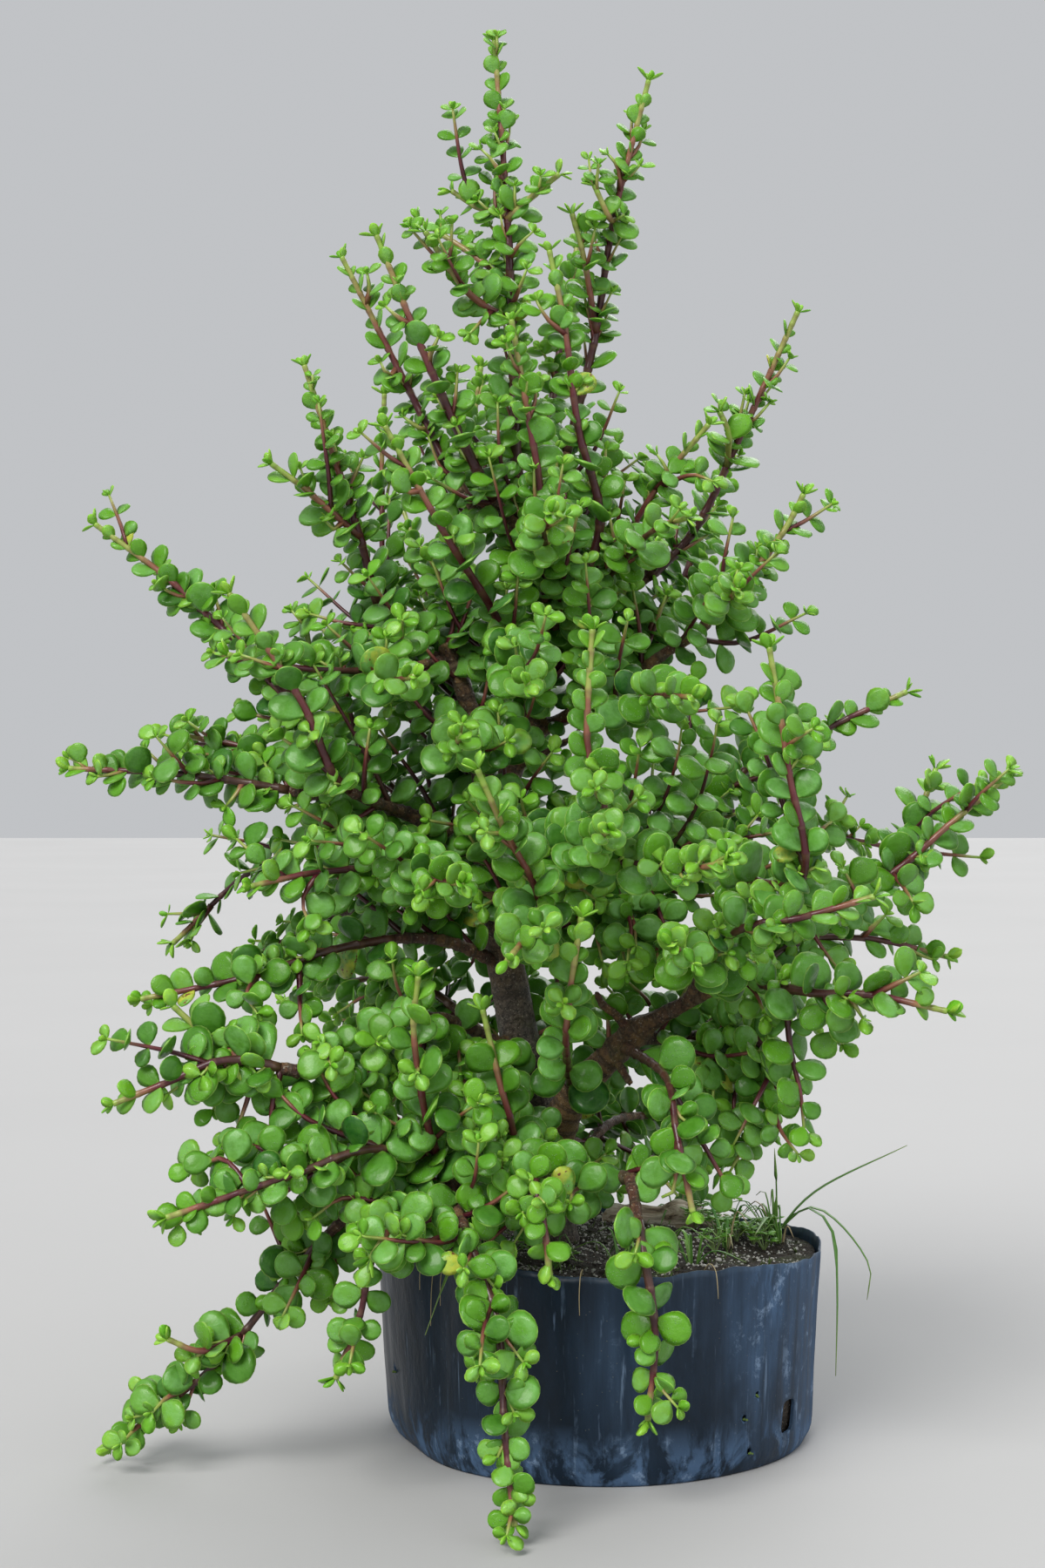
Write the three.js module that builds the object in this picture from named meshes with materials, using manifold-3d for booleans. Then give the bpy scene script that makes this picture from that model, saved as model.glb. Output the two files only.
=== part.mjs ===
// Elephant bush (Portulacaria afra) growing in a cut-down plastic nursery bag.
// Millimetres, +Z up. The origin is the middle of the bag's base, on the surface it stands on.
// The bag's front is towards -Y.

import * as THREE from "three";
import { mergeVertices } from "three/addons/utils/BufferGeometryUtils.js";
import Module from "manifold-3d";

const wasm = await Module();
wasm.setup();

// ---------------------------------------------------------------- driving dimensions

const GAP = 0.3; // left between pieces that touch

const BAG_BASE = 95; // radii, outside
const BAG_HEEL = 97.5;
const BAG_RIM = 102;
const BAG_HEIGHT = 87; // mean height of the cut rim
const BAG_WALL = 1.4;
const BAG_FLOOR = 2;
const BAG_SIDES = 32;
const RIM_TILT = 0.045; // the rim stands this share higher at its high side
const RIM_HIGH = THREE.MathUtils.degToRad(-120);
const RIM_WAVE = 0.012;
const FOLD_DEPTH = 3.5; // upright fold at the left front
const FOLD_ANGLE = THREE.MathUtils.degToRad(-135);
const FOLD_WIDTH = 0.13;
const TUCK_DEPTH = 5; // lower left corner, tucked in
const TUCK_ANGLE = THREE.MathUtils.degToRad(-160);
const TUCK_WIDTH = 0.3;
const TUCK_HEIGHT = 14;
const SLOT = { angle: -35, height: 19, wide: 5, tall: 15 }; // drain slot

const SOIL_HEIGHT = 80;
const SOIL_INSET = 1; // the soil has shrunk this far from the wall
const SOIL_CROWN = 3; // how much higher the middle lies
const SOIL_ROUGHNESS = 1.6;

const STEPS = 12; // straight pieces in each span of a route
const FIRST_SEED = 1000;
const TIP_RADIUS = 0.9; // of a young stem
const WOOD_TAPER = 0.28;
const KNUCKLE_LEAST = 5; // stems thicker than this radius end in a knuckle
const TRUNK_SIDES = 8;
const WOOD_SIDES = 5;
const STEM_SIDES = 4;
const BOW = 1.4; // how far a straight length of a stem may stray from its route

const LEAF_LENGTH = 15;
const LEAF_SIDES = 5; // corners of a leaf's outline
const LEAF_ROOT = 0.42; // a root starts this share of the stem's radius out from its middle
const LEAF_FIRST = 5; // from the start of the leafy part to its first pair
const PAIR_GAP = 12.5; // between leaf pairs on the older part of a stem
const LAST_GAP = 4; // between the last two pairs
const TIP_INSET = 1.2; // from the last pair to the end of the stem
const HEART = [-30, 0, 290]; // middle of the bush
const KEPT_GAP = 24.6; // between the pairs that carry a leaf here, at least

const GRASS_THICK = 0.8;
const TUFT_RADIUS = 3.5;
const TUFT_FOOT = 70;

// Every stem: what it springs from, how far along that, the points it runs through after
// that, the bare share of its length, and its radius at the start. A bare share of 1 is old
// wood, and 0 is a side shoot that is one piece with the leafy stem it springs from.
const STEMS = {
  trunk: [null, 0, [[-19, 8, 63], [-26, 2, 131], [-37, 0, 182], [-46, 0, 232], [-51, 4, 276]], 1, 11],
  fork_right: ["trunk", 1, [[-38, 14, 308], [-24, 16, 353], [-27, 14, 392], [-37, 10, 416]], 1, 6],
  fork_left: ["trunk", 1, [[-56, 2, 316], [-63, 0, 342], [-72, 0, 362]], 1, 5.5],
  limb_right: ["trunk", 0.26, [[-13, -20, 153], [4, -34, 174], [19, -42, 189]], 1, 8.5],
  limb_left_low: ["trunk", 0.16, [[-46, -52, 121], [-68, -78, 126]], 1, 5],
  limb_front_low: ["trunk", 0.14, [[-10, -60, 121], [10, -104, 132]], 1, 4.5],
  limb_left_mid: ["trunk", 0.93, [[-79, -16, 279], [-98, -24, 286]], 1, 4.6],
  left_under: ["trunk", 0.5, [[-72, -30, 191], [-103, -70, 187], [-129, -96, 175]], 1, 3.4],
  right_limb_up: ["limb_right", 1, [[45, -60, 205], [63, -72, 214]], 1, 4],
  right_limb_flat: ["limb_right", 0.9, [[43, -30, 183], [59, -24, 187]], 1, 3.4],
  limb_right_mid: ["trunk", 0.8, [[-19, -10, 252], [20, -30, 257], [50, -40, 261]], 1, 4.6],
  limb_right_high: ["fork_right", 0.3, [[6, 18, 339], [27, 14, 354], [46, 8, 366]], 1, 3.8],

  crown_leader: ["fork_right", 1, [[-39, 4, 486], [-42, 0, 557], [-48, 0, 639]], 0.12, 3.2],
  crown_right: ["fork_right", 0.86, [[-14, 30, 453], [-1, 30, 506], [8, 22, 562], [24, 15, 625]], 0.25, 3],
  crown_mid_right: ["fork_right", 0.62, [[0, -10, 411], [-10, -25, 457], [-16, -30, 501], [-23, -32, 535]], 0.25, 2.8],
  crown_front: ["fork_right", 0.55, [[-26, -25, 418], [-33, -38, 463], [-40, -42, 502]], 0.2, 2.4],
  crown_left: ["fork_right", 0.97, [[-53, -6, 435], [-74, -18, 478], [-101, -22, 544]], 0.15, 2.9],
  crown_left_far: ["fork_right", 0.95, [[-61, 20, 430], [-88, 26, 481], [-120, 22, 544]], 0.25, 2.8],
  crown_shoot_low: ["crown_leader", 0.42, [[-60, -14, 520], [-79, -26, 545]], 0, 1.8],
  crown_shoot_high: ["crown_leader", 0.5, [[-63, 12, 546], [-84, 20, 561]], 0, 1.7],
  crown_twig_right: ["crown_leader", 0.63, [[-31, -6, 565], [-18, -10, 575]], 0, 1.5],
  crown_twig_left: ["crown_leader", 0.64, [[-55, 6, 563], [-68, 10, 572]], 0, 1.5],
  right_twig_low: ["crown_right", 0.5, [[-6, 14, 540], [-12, 8, 561]], 0, 1.6],
  right_twig_mid: ["crown_right", 0.72, [[5, 6, 559], [-2, 2, 573]], 0, 1.4],

  left_upright: ["fork_left", 0.85, [[-97, 6, 369], [-110, -8, 411], [-121, -16, 446], [-134, -18, 486]], 0.3, 2.9],
  left_upright_twig: ["left_upright", 0.5, [[-133, -22, 429], [-148, -28, 440]], 0, 1.6],
  left_front_upright: ["fork_right", 0.42, [[-46, -20, 370], [-69, -48, 406], [-95, -62, 452]], 0.2, 2.6],
  left_back_upright: ["fork_left", 0.7, [[-99, 60, 385], [-104, 72, 442], [-103, 74, 488]], 0.3, 2.2],
  left_level: ["fork_left", 0.9, [[-94, -20, 348], [-129, -40, 347], [-165, -50, 353]], 0.3, 2.2],
  left_reach: ["limb_left_mid", 1, [[-133, -26, 292], [-184, -30, 300], [-238, -34, 303]], 0.3, 2.8],
  left_reach_twig: ["left_reach", 0.35, [[-158, -10, 311], [-189, -4, 318]], 0, 1.7],
  left_diagonal: ["limb_left_mid", 0.8, [[-114, -60, 296], [-129, -70, 329], [-147, -74, 358], [-161, -76, 378]], 0.3, 2.6],
  left_long: ["limb_left_mid", 0.9, [[-123, 0, 309], [-159, 6, 352], [-197, 10, 389], [-234, 10, 417]], 0.35, 2.9],
  left_small_up: ["left_long", 0.42, [[-132, 14, 337], [-137, 18, 372]], 0, 1.6],
  left_mid_low: ["limb_left_mid", 0.55, [[-100, -50, 261], [-129, -66, 257], [-152, -76, 252]], 0.3, 2.2],
  left_droop_far: ["limb_left_mid", 0.5, [[-118, 40, 271], [-166, 60, 254], [-206, 66, 218]], 0.35, 2.2],
  left_lower: ["trunk", 0.7, [[-74, -26, 226], [-112, -40, 224], [-157, -52, 211], [-202, -58, 202]], 0.35, 3],
  left_lower_back: ["trunk", 0.78, [[-77, 40, 242], [-112, 70, 236], [-153, 92, 218], [-193, 100, 196]], 0.35, 2.6],
  left_under_tip: ["left_under", 1, [[-158, -106, 181], [-183, -112, 172], [-204, -116, 164]], 0.1, 2.4],
  left_under_up: ["left_under_tip", 0.3, [[-168, -92, 189], [-183, -90, 202]], 0, 1.8],
  left_front_low: ["limb_left_low", 0.55, [[-93, -100, 143], [-131, -122, 135], [-179, -138, 121]], 0.3, 2.6],

  left_trail: ["limb_left_low", 0.8, [[-103, -72, 114], [-137, -70, 82], [-167, -70, 46], [-215, -58, 6]], 0.35, 2.8],
  left_trail_twig: ["left_trail", 0.62, [[-172, -82, 54], [-186, -86, 60]], 0, 1.5],
  left_hang: ["limb_left_low", 0.85, [[-93, -112, 107], [-102, -118, 77], [-112, -118, 51]], 0.25, 2.1],
  left_hang_front: ["left_hang", 0.36, [[-89, -140, 116], [-96, -146, 106]], 0, 1.7],
  front_trail: ["limb_left_low", 1, [[-58, -122, 111], [-45, -146, 80], [-42, -162, 42], [-38, -172, 7]], 0.3, 2.8],
  front_hang_mid: ["limb_front_low", 0.55, [[-29, -122, 135], [-26, -136, 116], [-24, -136, 97]], 0.16, 2],
  front_hang_right: ["limb_front_low", 1, [[14, -124, 107], [19, -130, 73], [16, -130, 37]], 0.2, 2.4],
  front_up_left: ["limb_left_low", 0.95, [[-74, -96, 149], [-80, -112, 191], [-78, -118, 217]], 0.1, 2.1],
  front_up_mid: ["limb_left_low", 0.42, [[-39, -74, 146], [-45, -84, 170], [-52, -84, 200]], 0.2, 2.1],
  front_column: ["limb_right", 0.45, [[-17, -110, 188], [-15, -124, 214], [-11, -130, 242]], 0.2, 2.2],

  right_low_front: ["right_limb_up", 0.9, [[85, -104, 209], [109, -116, 209], [139, -124, 203]], 0.15, 2.6],
  right_level: ["right_limb_flat", 0.7, [[85, -4, 220], [122, 0, 225], [162, 4, 216]], 0.25, 2.4],
  right_front_level: ["right_limb_up", 0.4, [[51, -118, 234], [78, -136, 242], [106, -146, 251]], 0.2, 2.4],
  right_hang: ["right_limb_flat", 1, [[69, -50, 182], [76, -58, 166], [74, -60, 144]], 0.1, 2.2],
  right_hang_front: ["limb_right", 0.85, [[24, -112, 175], [27, -140, 156], [33, -148, 125]], 0.15, 2.4],
  right_reach: ["limb_right_mid", 1, [[94, -30, 237], [129, -32, 255], [156, -34, 278], [182, -36, 300]], 0.25, 2.8],
  right_reach_fork: ["right_reach", 0.55, [[145, -10, 280], [155, -4, 303]], 0, 1.8],
  right_upper_reach: ["limb_right_mid", 0.8, [[65, 0, 300], [107, 8, 322], [144, 10, 339]], 0.25, 2.5],
  right_upright: ["limb_right_mid", 0.9, [[80, -110, 256], [74, -122, 303], [66, -124, 352]], 0.25, 2.5],
  right_arm: ["limb_right_high", 1, [[69, 0, 391], [85, -4, 412], [94, -6, 429]], 0.1, 2.4],
  right_arm_cluster: ["right_arm", 0.24, [[57, -34, 378], [59, -60, 381]], 0, 1.6],
  right_top: ["fork_right", 0.7, [[7, 40, 383], [44, 42, 413], [69, 34, 462], [95, 26, 519]], 0.3, 2.9],
  right_top_twig: ["right_top", 0.62, [[62, 20, 460], [57, 14, 470]], 0, 1.3],
  right_mid_up: ["fork_right", 0.42, [[2, 24, 391], [27, 12, 433], [51, 0, 462]], 0.3, 2.4],
  right_mid_front: ["right_mid_up", 0.4, [[21, -40, 407], [37, -62, 412]], 0, 1.7],

  centre_upright: ["trunk", 0.98, [[-3, -118, 274], [-9, -142, 313], [-7, -146, 358]], 0.3, 2.6],
  centre_front_left: ["trunk", 0.72, [[-28, -110, 245], [-43, -146, 279], [-53, -158, 302]], 0.3, 2.5],
  centre_front_low: ["centre_front_left", 0.36, [[-35, -146, 233], [-41, -168, 227]], 0, 1.7],
  centre_bright: ["trunk", 0.9, [[-13, -100, 267], [-4, -156, 275], [-2, -184, 278]], 0.4, 2.2],
  centre_right_bright: ["centre_bright", 0.5, [[28, -138, 262], [45, -160, 265]], 0, 1.8],
  centre_right_low: ["right_front_level", 0.26, [[32, -128, 226], [24, -152, 232]], 0, 1.7],
  left_centre_bright: ["left_mid_low", 0.36, [[-69, -110, 256], [-59, -142, 256]], 0, 1.7],
  high_centre_bright: ["left_front_upright", 0.26, [[-34, -86, 342], [-33, -118, 337]], 0, 1.7],
  high_left_bright: ["fork_left", 0.45, [[-63, -66, 310], [-61, -118, 316]], 0.3, 1.9],
  high_right_bright: ["limb_right_high", 0.3, [[19, -60, 334], [36, -112, 332]], 0.3, 2],
  upper_centre_bright: ["crown_front", 0.3, [[-25, -66, 408], [-23, -88, 411]], 0, 1.6],
  upper_left_bright: ["left_level", 0.36, [[-91, -70, 341], [-80, -104, 341]], 0, 1.7],

  back_crown: ["fork_right", 0.75, [[-22, 62, 470], [-6, 92, 575]], 0.25, 2.7],
  back_left_high: ["fork_right", 0.22, [[-64, 70, 350], [-96, 124, 436]], 0.3, 2.6],
  back_crown_left: ["back_left_high", 0.5, [[-66, 104, 430], [-56, 112, 508]], 0, 1.9],
  back_right_high: ["limb_right_high", 0.6, [[42, 72, 392], [70, 118, 462]], 0.25, 2.6],
  back_left_mid: ["trunk", 0.84, [[-104, 62, 300], [-165, 128, 330]], 0.3, 2.8],
  back_mid: ["trunk", 0.93, [[-36, 82, 318], [-24, 178, 356]], 0.3, 2.8],
  back_right_mid: ["limb_right_mid", 0.5, [[52, 66, 292], [104, 146, 330]], 0.25, 2.7],
  back_right_reach: ["back_right_mid", 0.45, [[112, 86, 272], [160, 98, 262]], 0, 1.9],
  back_left_low: ["trunk", 0.46, [[-92, 72, 200], [-160, 152, 182]], 0.3, 2.8],
  back_left_trail: ["back_left_low", 0.5, [[-118, 146, 150], [-108, 172, 84]], 0, 1.9],
  back_low: ["trunk", 0.4, [[-14, 92, 186], [4, 180, 160]], 0.3, 2.7],
  back_right_low: ["limb_right", 0.55, [[60, 58, 190], [122, 132, 176]], 0.25, 2.7],
  back_trail: ["trunk", 0.18, [[10, 62, 132], [48, 130, 112], [64, 164, 34]], 0.4, 2.5],
};

// Grass blades: the points a blade runs through from its tuft, and its width at the foot.
const GRASS = {
  grass_right: {
    foot: [84, 28],
    blades: [
      [[[104, 25, 104], [146, 22, 126]], 3.4],
      [[[85, 29, 104], [84, 26, 124]], 2.6],
      [[[99, 24, 96], [113, 20, 90], [127, 16, 71], [126, 14, 55]], 3],
      [[[97, 19, 97], [109, 12, 88], [111, 8, 62], [110, 4, 22]], 2.2],
      [[[66, 40, 92], [40, 52, 96]], 2.6],
      [[[79, 6, 95], [70, -22, 92]], 2.6],
    ],
  },
  grass_left: {
    foot: [-56, -20],
    blades: [
      [[[-58, -62, 102], [-66, -92, 90], [-76, -96, 64]], 3],
      [[[-66, -14, 106], [-84, -10, 112]], 2.6],
      [[[-44, -40, 93], [-26, -66, 92]], 2.6],
      [[[-66, 4, 94], [-64, 34, 93]], 2.4],
    ],
  },
};

// A weathered stick that lies half sunk in the soil behind the trunk.
const DEAD_WOOD = { points: [[4, 56, 84], [30, 58, 86], [62, 50, 85]], radius: 6.5 };

// ---------------------------------------------------------------- helpers

const UP = new THREE.Vector3(0, 0, 1);
const EAST = new THREE.Vector3(1, 0, 0);

function vectors(triples) {
  return triples.map((triple) => new THREE.Vector3(...triple));
}

// The same draws in the same order for the same seed.
function seeded(seed) {
  let state = seed;
  return () => {
    state = (state + 0x6d2b79f5) | 0;
    let mixed = Math.imul(state ^ (state >>> 15), 1 | state);
    mixed = (mixed + Math.imul(mixed ^ (mixed >>> 7), 61 | mixed)) ^ mixed;
    return ((mixed ^ (mixed >>> 14)) >>> 0) / 4294967296;
  };
}

// One skin with shared corners and no collapsed triangles.
function weld(geometry) {
  geometry.deleteAttribute("normal");
  geometry.deleteAttribute("uv");
  const skin = mergeVertices(geometry);
  const corners = skin.index.array;
  const kept = [];
  for (let k = 0; k < corners.length; k += 3) {
    const [a, b, c] = [corners[k], corners[k + 1], corners[k + 2]];
    if (a !== b && b !== c && c !== a) {
      kept.push(a, b, c);
    }
  }
  skin.setIndex(kept);
  return skin;
}

// Moves every corner of a skin, in place.
function reshape(skin, move) {
  const place = skin.attributes.position;
  const corner = new THREE.Vector3();
  for (let k = 0; k < place.count; k += 1) {
    corner.fromBufferAttribute(place, k);
    const moved = move(corner);
    place.setXYZ(k, moved.x, moved.y, moved.z);
  }
  return skin;
}

function solid(skin) {
  const mesh = new wasm.Mesh({
    numProp: 3,
    vertProperties: new Float32Array(skin.attributes.position.array),
    triVerts: new Uint32Array(skin.index.array),
  });
  return new wasm.Manifold(mesh);
}

// A smooth route through points, with a frame carried along it without twist.
class Route {
  constructor(points) {
    const curve = new THREE.CatmullRomCurve3(points, false, "catmullrom", 0.5);
    this.spots = curve.getPoints(STEPS * (points.length - 1));
    this.reach = [0];
    for (let k = 1; k < this.spots.length; k += 1) {
      this.reach.push(this.reach[k - 1] + this.spots[k].distanceTo(this.spots[k - 1]));
    }
    this.length = this.reach[this.reach.length - 1];
    this.aheads = this.spots.map((_, k) => {
      const next = this.spots[Math.min(k + 1, this.spots.length - 1)];
      const last = this.spots[Math.max(k - 1, 0)];
      return next.clone().sub(last).normalize();
    });
    const helper = Math.abs(this.aheads[0].z) < 0.9 ? UP : EAST;
    let side = this.aheads[0].clone().cross(helper).normalize();
    this.sides = this.aheads.map((ahead) => {
      side = side.clone().addScaledVector(ahead, -side.dot(ahead)).normalize();
      return side;
    });
  }

  // How far the route turns between two distances, in radians.
  turn(from, to) {
    let total = 0;
    for (let k = 1; k < this.spots.length; k += 1) {
      if (this.reach[k] > from && this.reach[k] <= to) {
        total += this.aheads[k].angleTo(this.aheads[k - 1]);
      }
    }
    return total;
  }

  frame(distance) {
    let k = 0;
    while (k < this.spots.length - 2 && this.reach[k + 1] <= distance) {
      k += 1;
    }
    const share = (distance - this.reach[k]) / (this.reach[k + 1] - this.reach[k]);
    const at = this.spots[k].clone().lerp(this.spots[k + 1], share);
    const ahead = this.aheads[k].clone().lerp(this.aheads[k + 1], share).normalize();
    const side = this.sides[k].clone().lerp(this.sides[k + 1], share);
    side.addScaledVector(ahead, -side.dot(ahead)).normalize();
    const across = side.clone().cross(ahead);
    return { at, ahead, side, across };
  }
}

// A tapered tube along part of a route, straight from each of its rings to the next. flat
// squashes its section across the route.
function tube(route, from, to, radiusAt, sides, rings, flat = 1) {
  const straight = weld(new THREE.CylinderGeometry(1, 1, 1, sides, rings));
  const bent = reshape(straight, (corner) => {
    const distance = from + (corner.y + 0.5) * (to - from);
    const { at, side, across } = route.frame(distance);
    const radius = radiusAt(distance);
    at.addScaledVector(side, corner.x * radius);
    return at.addScaledVector(across, corner.z * radius * flat);
  });
  return solid(bent);
}

function knuckle(centre, radius) {
  const ball = weld(new THREE.SphereGeometry(radius, 6, 3));
  return solid(reshape(ball, (corner) => corner.add(centre)));
}

// ---------------------------------------------------------------- bag and soil

// The bag's slump. Points at one angle and height all move alike, so that the wall keeps its
// thickness and the soil stays clear of the wall.
function slump(corner) {
  const angle = Math.atan2(corner.y, corner.x);
  const rise = corner.z / BAG_HEIGHT;
  const lift = RIM_TILT * Math.cos(angle - RIM_HIGH) + RIM_WAVE * Math.sin(5 * angle);
  const bulge = 1.2 * Math.sin(3 * angle + 0.5) + 0.7 * Math.sin(8 * angle);
  const foldTurn = THREE.MathUtils.euclideanModulo(angle - FOLD_ANGLE + Math.PI, 2 * Math.PI) - Math.PI;
  const tuckTurn = THREE.MathUtils.euclideanModulo(angle - TUCK_ANGLE + Math.PI, 2 * Math.PI) - Math.PI;
  const fold = FOLD_DEPTH * rise * Math.exp(-((foldTurn / FOLD_WIDTH) ** 2));
  const tuck = TUCK_DEPTH * Math.exp(-((tuckTurn / TUCK_WIDTH) ** 2) - corner.z / TUCK_HEIGHT);
  const outness = Math.min(1, Math.hypot(corner.x, corner.y) / BAG_BASE);
  const out = outness ** 4 * (bulge * (0.3 + 0.7 * rise) - fold - tuck);
  corner.x += out * Math.cos(angle);
  corner.y += out * Math.sin(angle);
  corner.z *= 1 + lift * outness ** 2;
  return corner;
}

function lathe(profile) {
  const spun = new THREE.LatheGeometry(profile.map(([r, z]) => new THREE.Vector2(r, z)), BAG_SIDES);
  spun.rotateX(Math.PI / 2);
  return weld(spun);
}

// Radius of the bag's outside at a height.
function bagRadius(height) {
  if (height < BAG_FLOOR + 4) {
    return THREE.MathUtils.mapLinear(height, 0, BAG_FLOOR + 4, BAG_BASE, BAG_HEEL);
  }
  return THREE.MathUtils.mapLinear(height, BAG_FLOOR + 4, BAG_HEIGHT, BAG_HEEL, BAG_RIM);
}

const BAG_HEIGHTS = [BAG_FLOOR + 4, 30, 56];

function drainSlot() {
  const outline = new THREE.Shape();
  const round = SLOT.wide / 2;
  const straight = SLOT.tall / 2 - round;
  outline.absarc(0, straight, round, 0, Math.PI);
  outline.absarc(0, -straight, round, Math.PI, 2 * Math.PI);
  outline.closePath();
  const cutter = new THREE.ExtrudeGeometry(outline, { depth: 24, bevelEnabled: false, curveSegments: 4 });
  cutter.translate(0, 0, -12);
  cutter.rotateX(Math.PI / 2);
  cutter.rotateZ(Math.PI / 2);
  cutter.translate(BAG_HEEL, 0, SLOT.height);
  cutter.rotateZ(THREE.MathUtils.degToRad(SLOT.angle));
  return solid(weld(cutter));
}

function bag() {
  const outer = [0, ...BAG_HEIGHTS, BAG_HEIGHT].map((z) => [bagRadius(z), z]);
  const inner = [BAG_FLOOR, ...BAG_HEIGHTS, BAG_HEIGHT].map((z) => [bagRadius(z) - BAG_WALL, z]);
  const profile = [[0, 0], ...outer, ...inner.reverse(), [0, BAG_FLOOR]];
  return solid(reshape(lathe(profile), slump)).subtract(drainSlot());
}

function soil(cutters) {
  const draw = seeded(7);
  const inside = (z) => [bagRadius(z) - BAG_WALL - SOIL_INSET, z];
  const wall = [inside(BAG_FLOOR + GAP), ...BAG_HEIGHTS.map(inside), inside(SOIL_HEIGHT)];
  const top = [[78, SOIL_HEIGHT + 0.4 * SOIL_CROWN], [44, SOIL_HEIGHT + 0.8 * SOIL_CROWN]];
  const profile = [[0, BAG_FLOOR + GAP], ...wall, ...top, [0, SOIL_HEIGHT + SOIL_CROWN]];
  const rough = reshape(lathe(profile), (corner) => {
    if (corner.z > SOIL_HEIGHT) {
      corner.z += SOIL_ROUGHNESS * (draw() - 0.5);
    }
    return slump(corner);
  });
  return cutters.reduce((body, cutter) => body.subtract(cutter), solid(rough));
}

// ---------------------------------------------------------------- wood and stems

const routes = {};
for (const [name, [parent, share, points]] of Object.entries(STEMS)) {
  const through = vectors(points);
  if (parent) {
    through.unshift(routes[parent].frame(share * routes[parent].length).at);
  }
  routes[name] = new Route(through);
}

function stemRadius(name) {
  const [, , , bare, radius] = STEMS[name];
  const end = bare === 1 ? radius * (1 - WOOD_TAPER) : TIP_RADIUS;
  return (distance) => THREE.MathUtils.lerp(radius, end, distance / routes[name].length);
}

// Rings stand as close as the bends between them need.
function ringCount(name, from, to) {
  const turn = routes[name].turn(from, to);
  return Math.ceil(Math.sqrt(((to - from) * turn) / (8 * BOW))) || 1;
}

function stemPiece(name, from, to, sides, extra = 0) {
  const radiusAt = stemRadius(name);
  const rings = ringCount(name, from, to);
  return tube(routes[name], from, to, (distance) => radiusAt(distance) + extra, sides, rings);
}

function bareLength(name) {
  return STEMS[name][3] * routes[name].length;
}

// Where the leafy part of a stem starts. A side shoot starts inside its parent.
function leafyStart(name) {
  return STEMS[name][3] === 0 ? 0 : bareLength(name) + GAP;
}

// The middle of the leafy part's straight length at a distance along its route.
function middle(name, distance) {
  const start = leafyStart(name);
  const end = routes[name].length;
  const step = (end - start) / ringCount(name, start, end);
  const ring = Math.min(Math.floor((distance - start) / step), Math.round((end - start) / step) - 1);
  const share = (distance - start) / step - ring;
  const next = routes[name].frame(start + (ring + 1) * step).at;
  return routes[name].frame(start + ring * step).at.lerp(next, share);
}

// Old wood and the leafless foot of every stem, grown together.
function wood() {
  let body = stemPiece("trunk", 0, routes.trunk.length, TRUNK_SIDES);
  for (const [name, [parent, , , bare]] of Object.entries(STEMS)) {
    const radiusAt = stemRadius(name);
    const end = bareLength(name);
    if (parent && bare > 0) {
      body = body.add(stemPiece(name, 0, end, bare === 1 ? WOOD_SIDES : STEM_SIDES));
    }
    if (bare === 1 && radiusAt(0) > KNUCKLE_LEAST) {
      body = body.add(knuckle(routes[name].spots.at(-1), 1.08 * radiusAt(end)));
    }
  }
  return body;
}

// Side shoots belong to the leafy stem that they spring from.
function leafyStems() {
  const groups = {};
  for (const [name, [parent, , , bare]] of Object.entries(STEMS)) {
    if (bare === 0) {
      groups[parent].push(name);
    } else if (bare < 1) {
      groups[name] = [name];
    }
  }
  return groups;
}

// ---------------------------------------------------------------- leaves

// How far along a stem its leaf pairs stand: closer together towards the tip.
function pairSpots(name) {
  const { length } = routes[name];
  const spots = [];
  let distance = bareLength(name) + LEAF_FIRST;
  while (distance < length - LAST_GAP) {
    spots.push(distance);
    distance += PAIR_GAP * (1 - 0.5 * (distance / length) ** 3);
  }
  spots.push(length - TIP_INSET);
  return spots;
}

// Leaves stand in opposite pairs, each pair a quarter turn on from the last, and smaller
// towards the tip. Every leaf leans out from the stem and up to the light.
function leafPlaces(name) {
  const route = routes[name];
  const draw = seeded(FIRST_SEED + Object.keys(STEMS).indexOf(name));
  const radiusAt = stemRadius(name);
  const spots = pairSpots(name);
  const places = [];
  spots.forEach((distance, pair) => {
    const age = distance / route.length;
    const { ahead, side, across } = route.frame(distance);
    for (const half of [0, 1]) {
      const around = Math.PI * (0.25 + 0.5 * pair + half) + 0.4 * (draw() - 0.5);
      const spread = 1.1 - 0.6 * age ** 4 + 0.35 * (draw() - 0.5);
      const size = LEAF_LENGTH * (0.8 + 0.5 * draw()) * (1 - 0.5 * age ** 2.5);
      const shape = 0.84 + 0.16 * draw();
      const tilt = [draw() - 0.5, draw() - 0.5, draw() - 0.5];
      const out = side.clone().multiplyScalar(Math.cos(around)).addScaledVector(across, Math.sin(around));
      const along = ahead.clone().multiplyScalar(Math.cos(spread)).addScaledVector(out, Math.sin(spread));
      along.addScaledVector(UP, 0.22).normalize();
      const face = ahead.clone().multiplyScalar(Math.sin(spread)).addScaledVector(out, -Math.cos(spread));
      face.addScaledVector(UP, 0.45).addScaledVector(new THREE.Vector3(...tilt), 0.5);
      face.addScaledVector(along, -face.dot(along)).normalize();
      const root = middle(name, distance).addScaledVector(along, LEAF_ROOT * radiusAt(distance));
      const long = size + (1 - LEAF_ROOT) * radiusAt(distance);
      places.push({ root, along, face, long, wide: size * shape, distance });
    }
  });
  return places;
}

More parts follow.
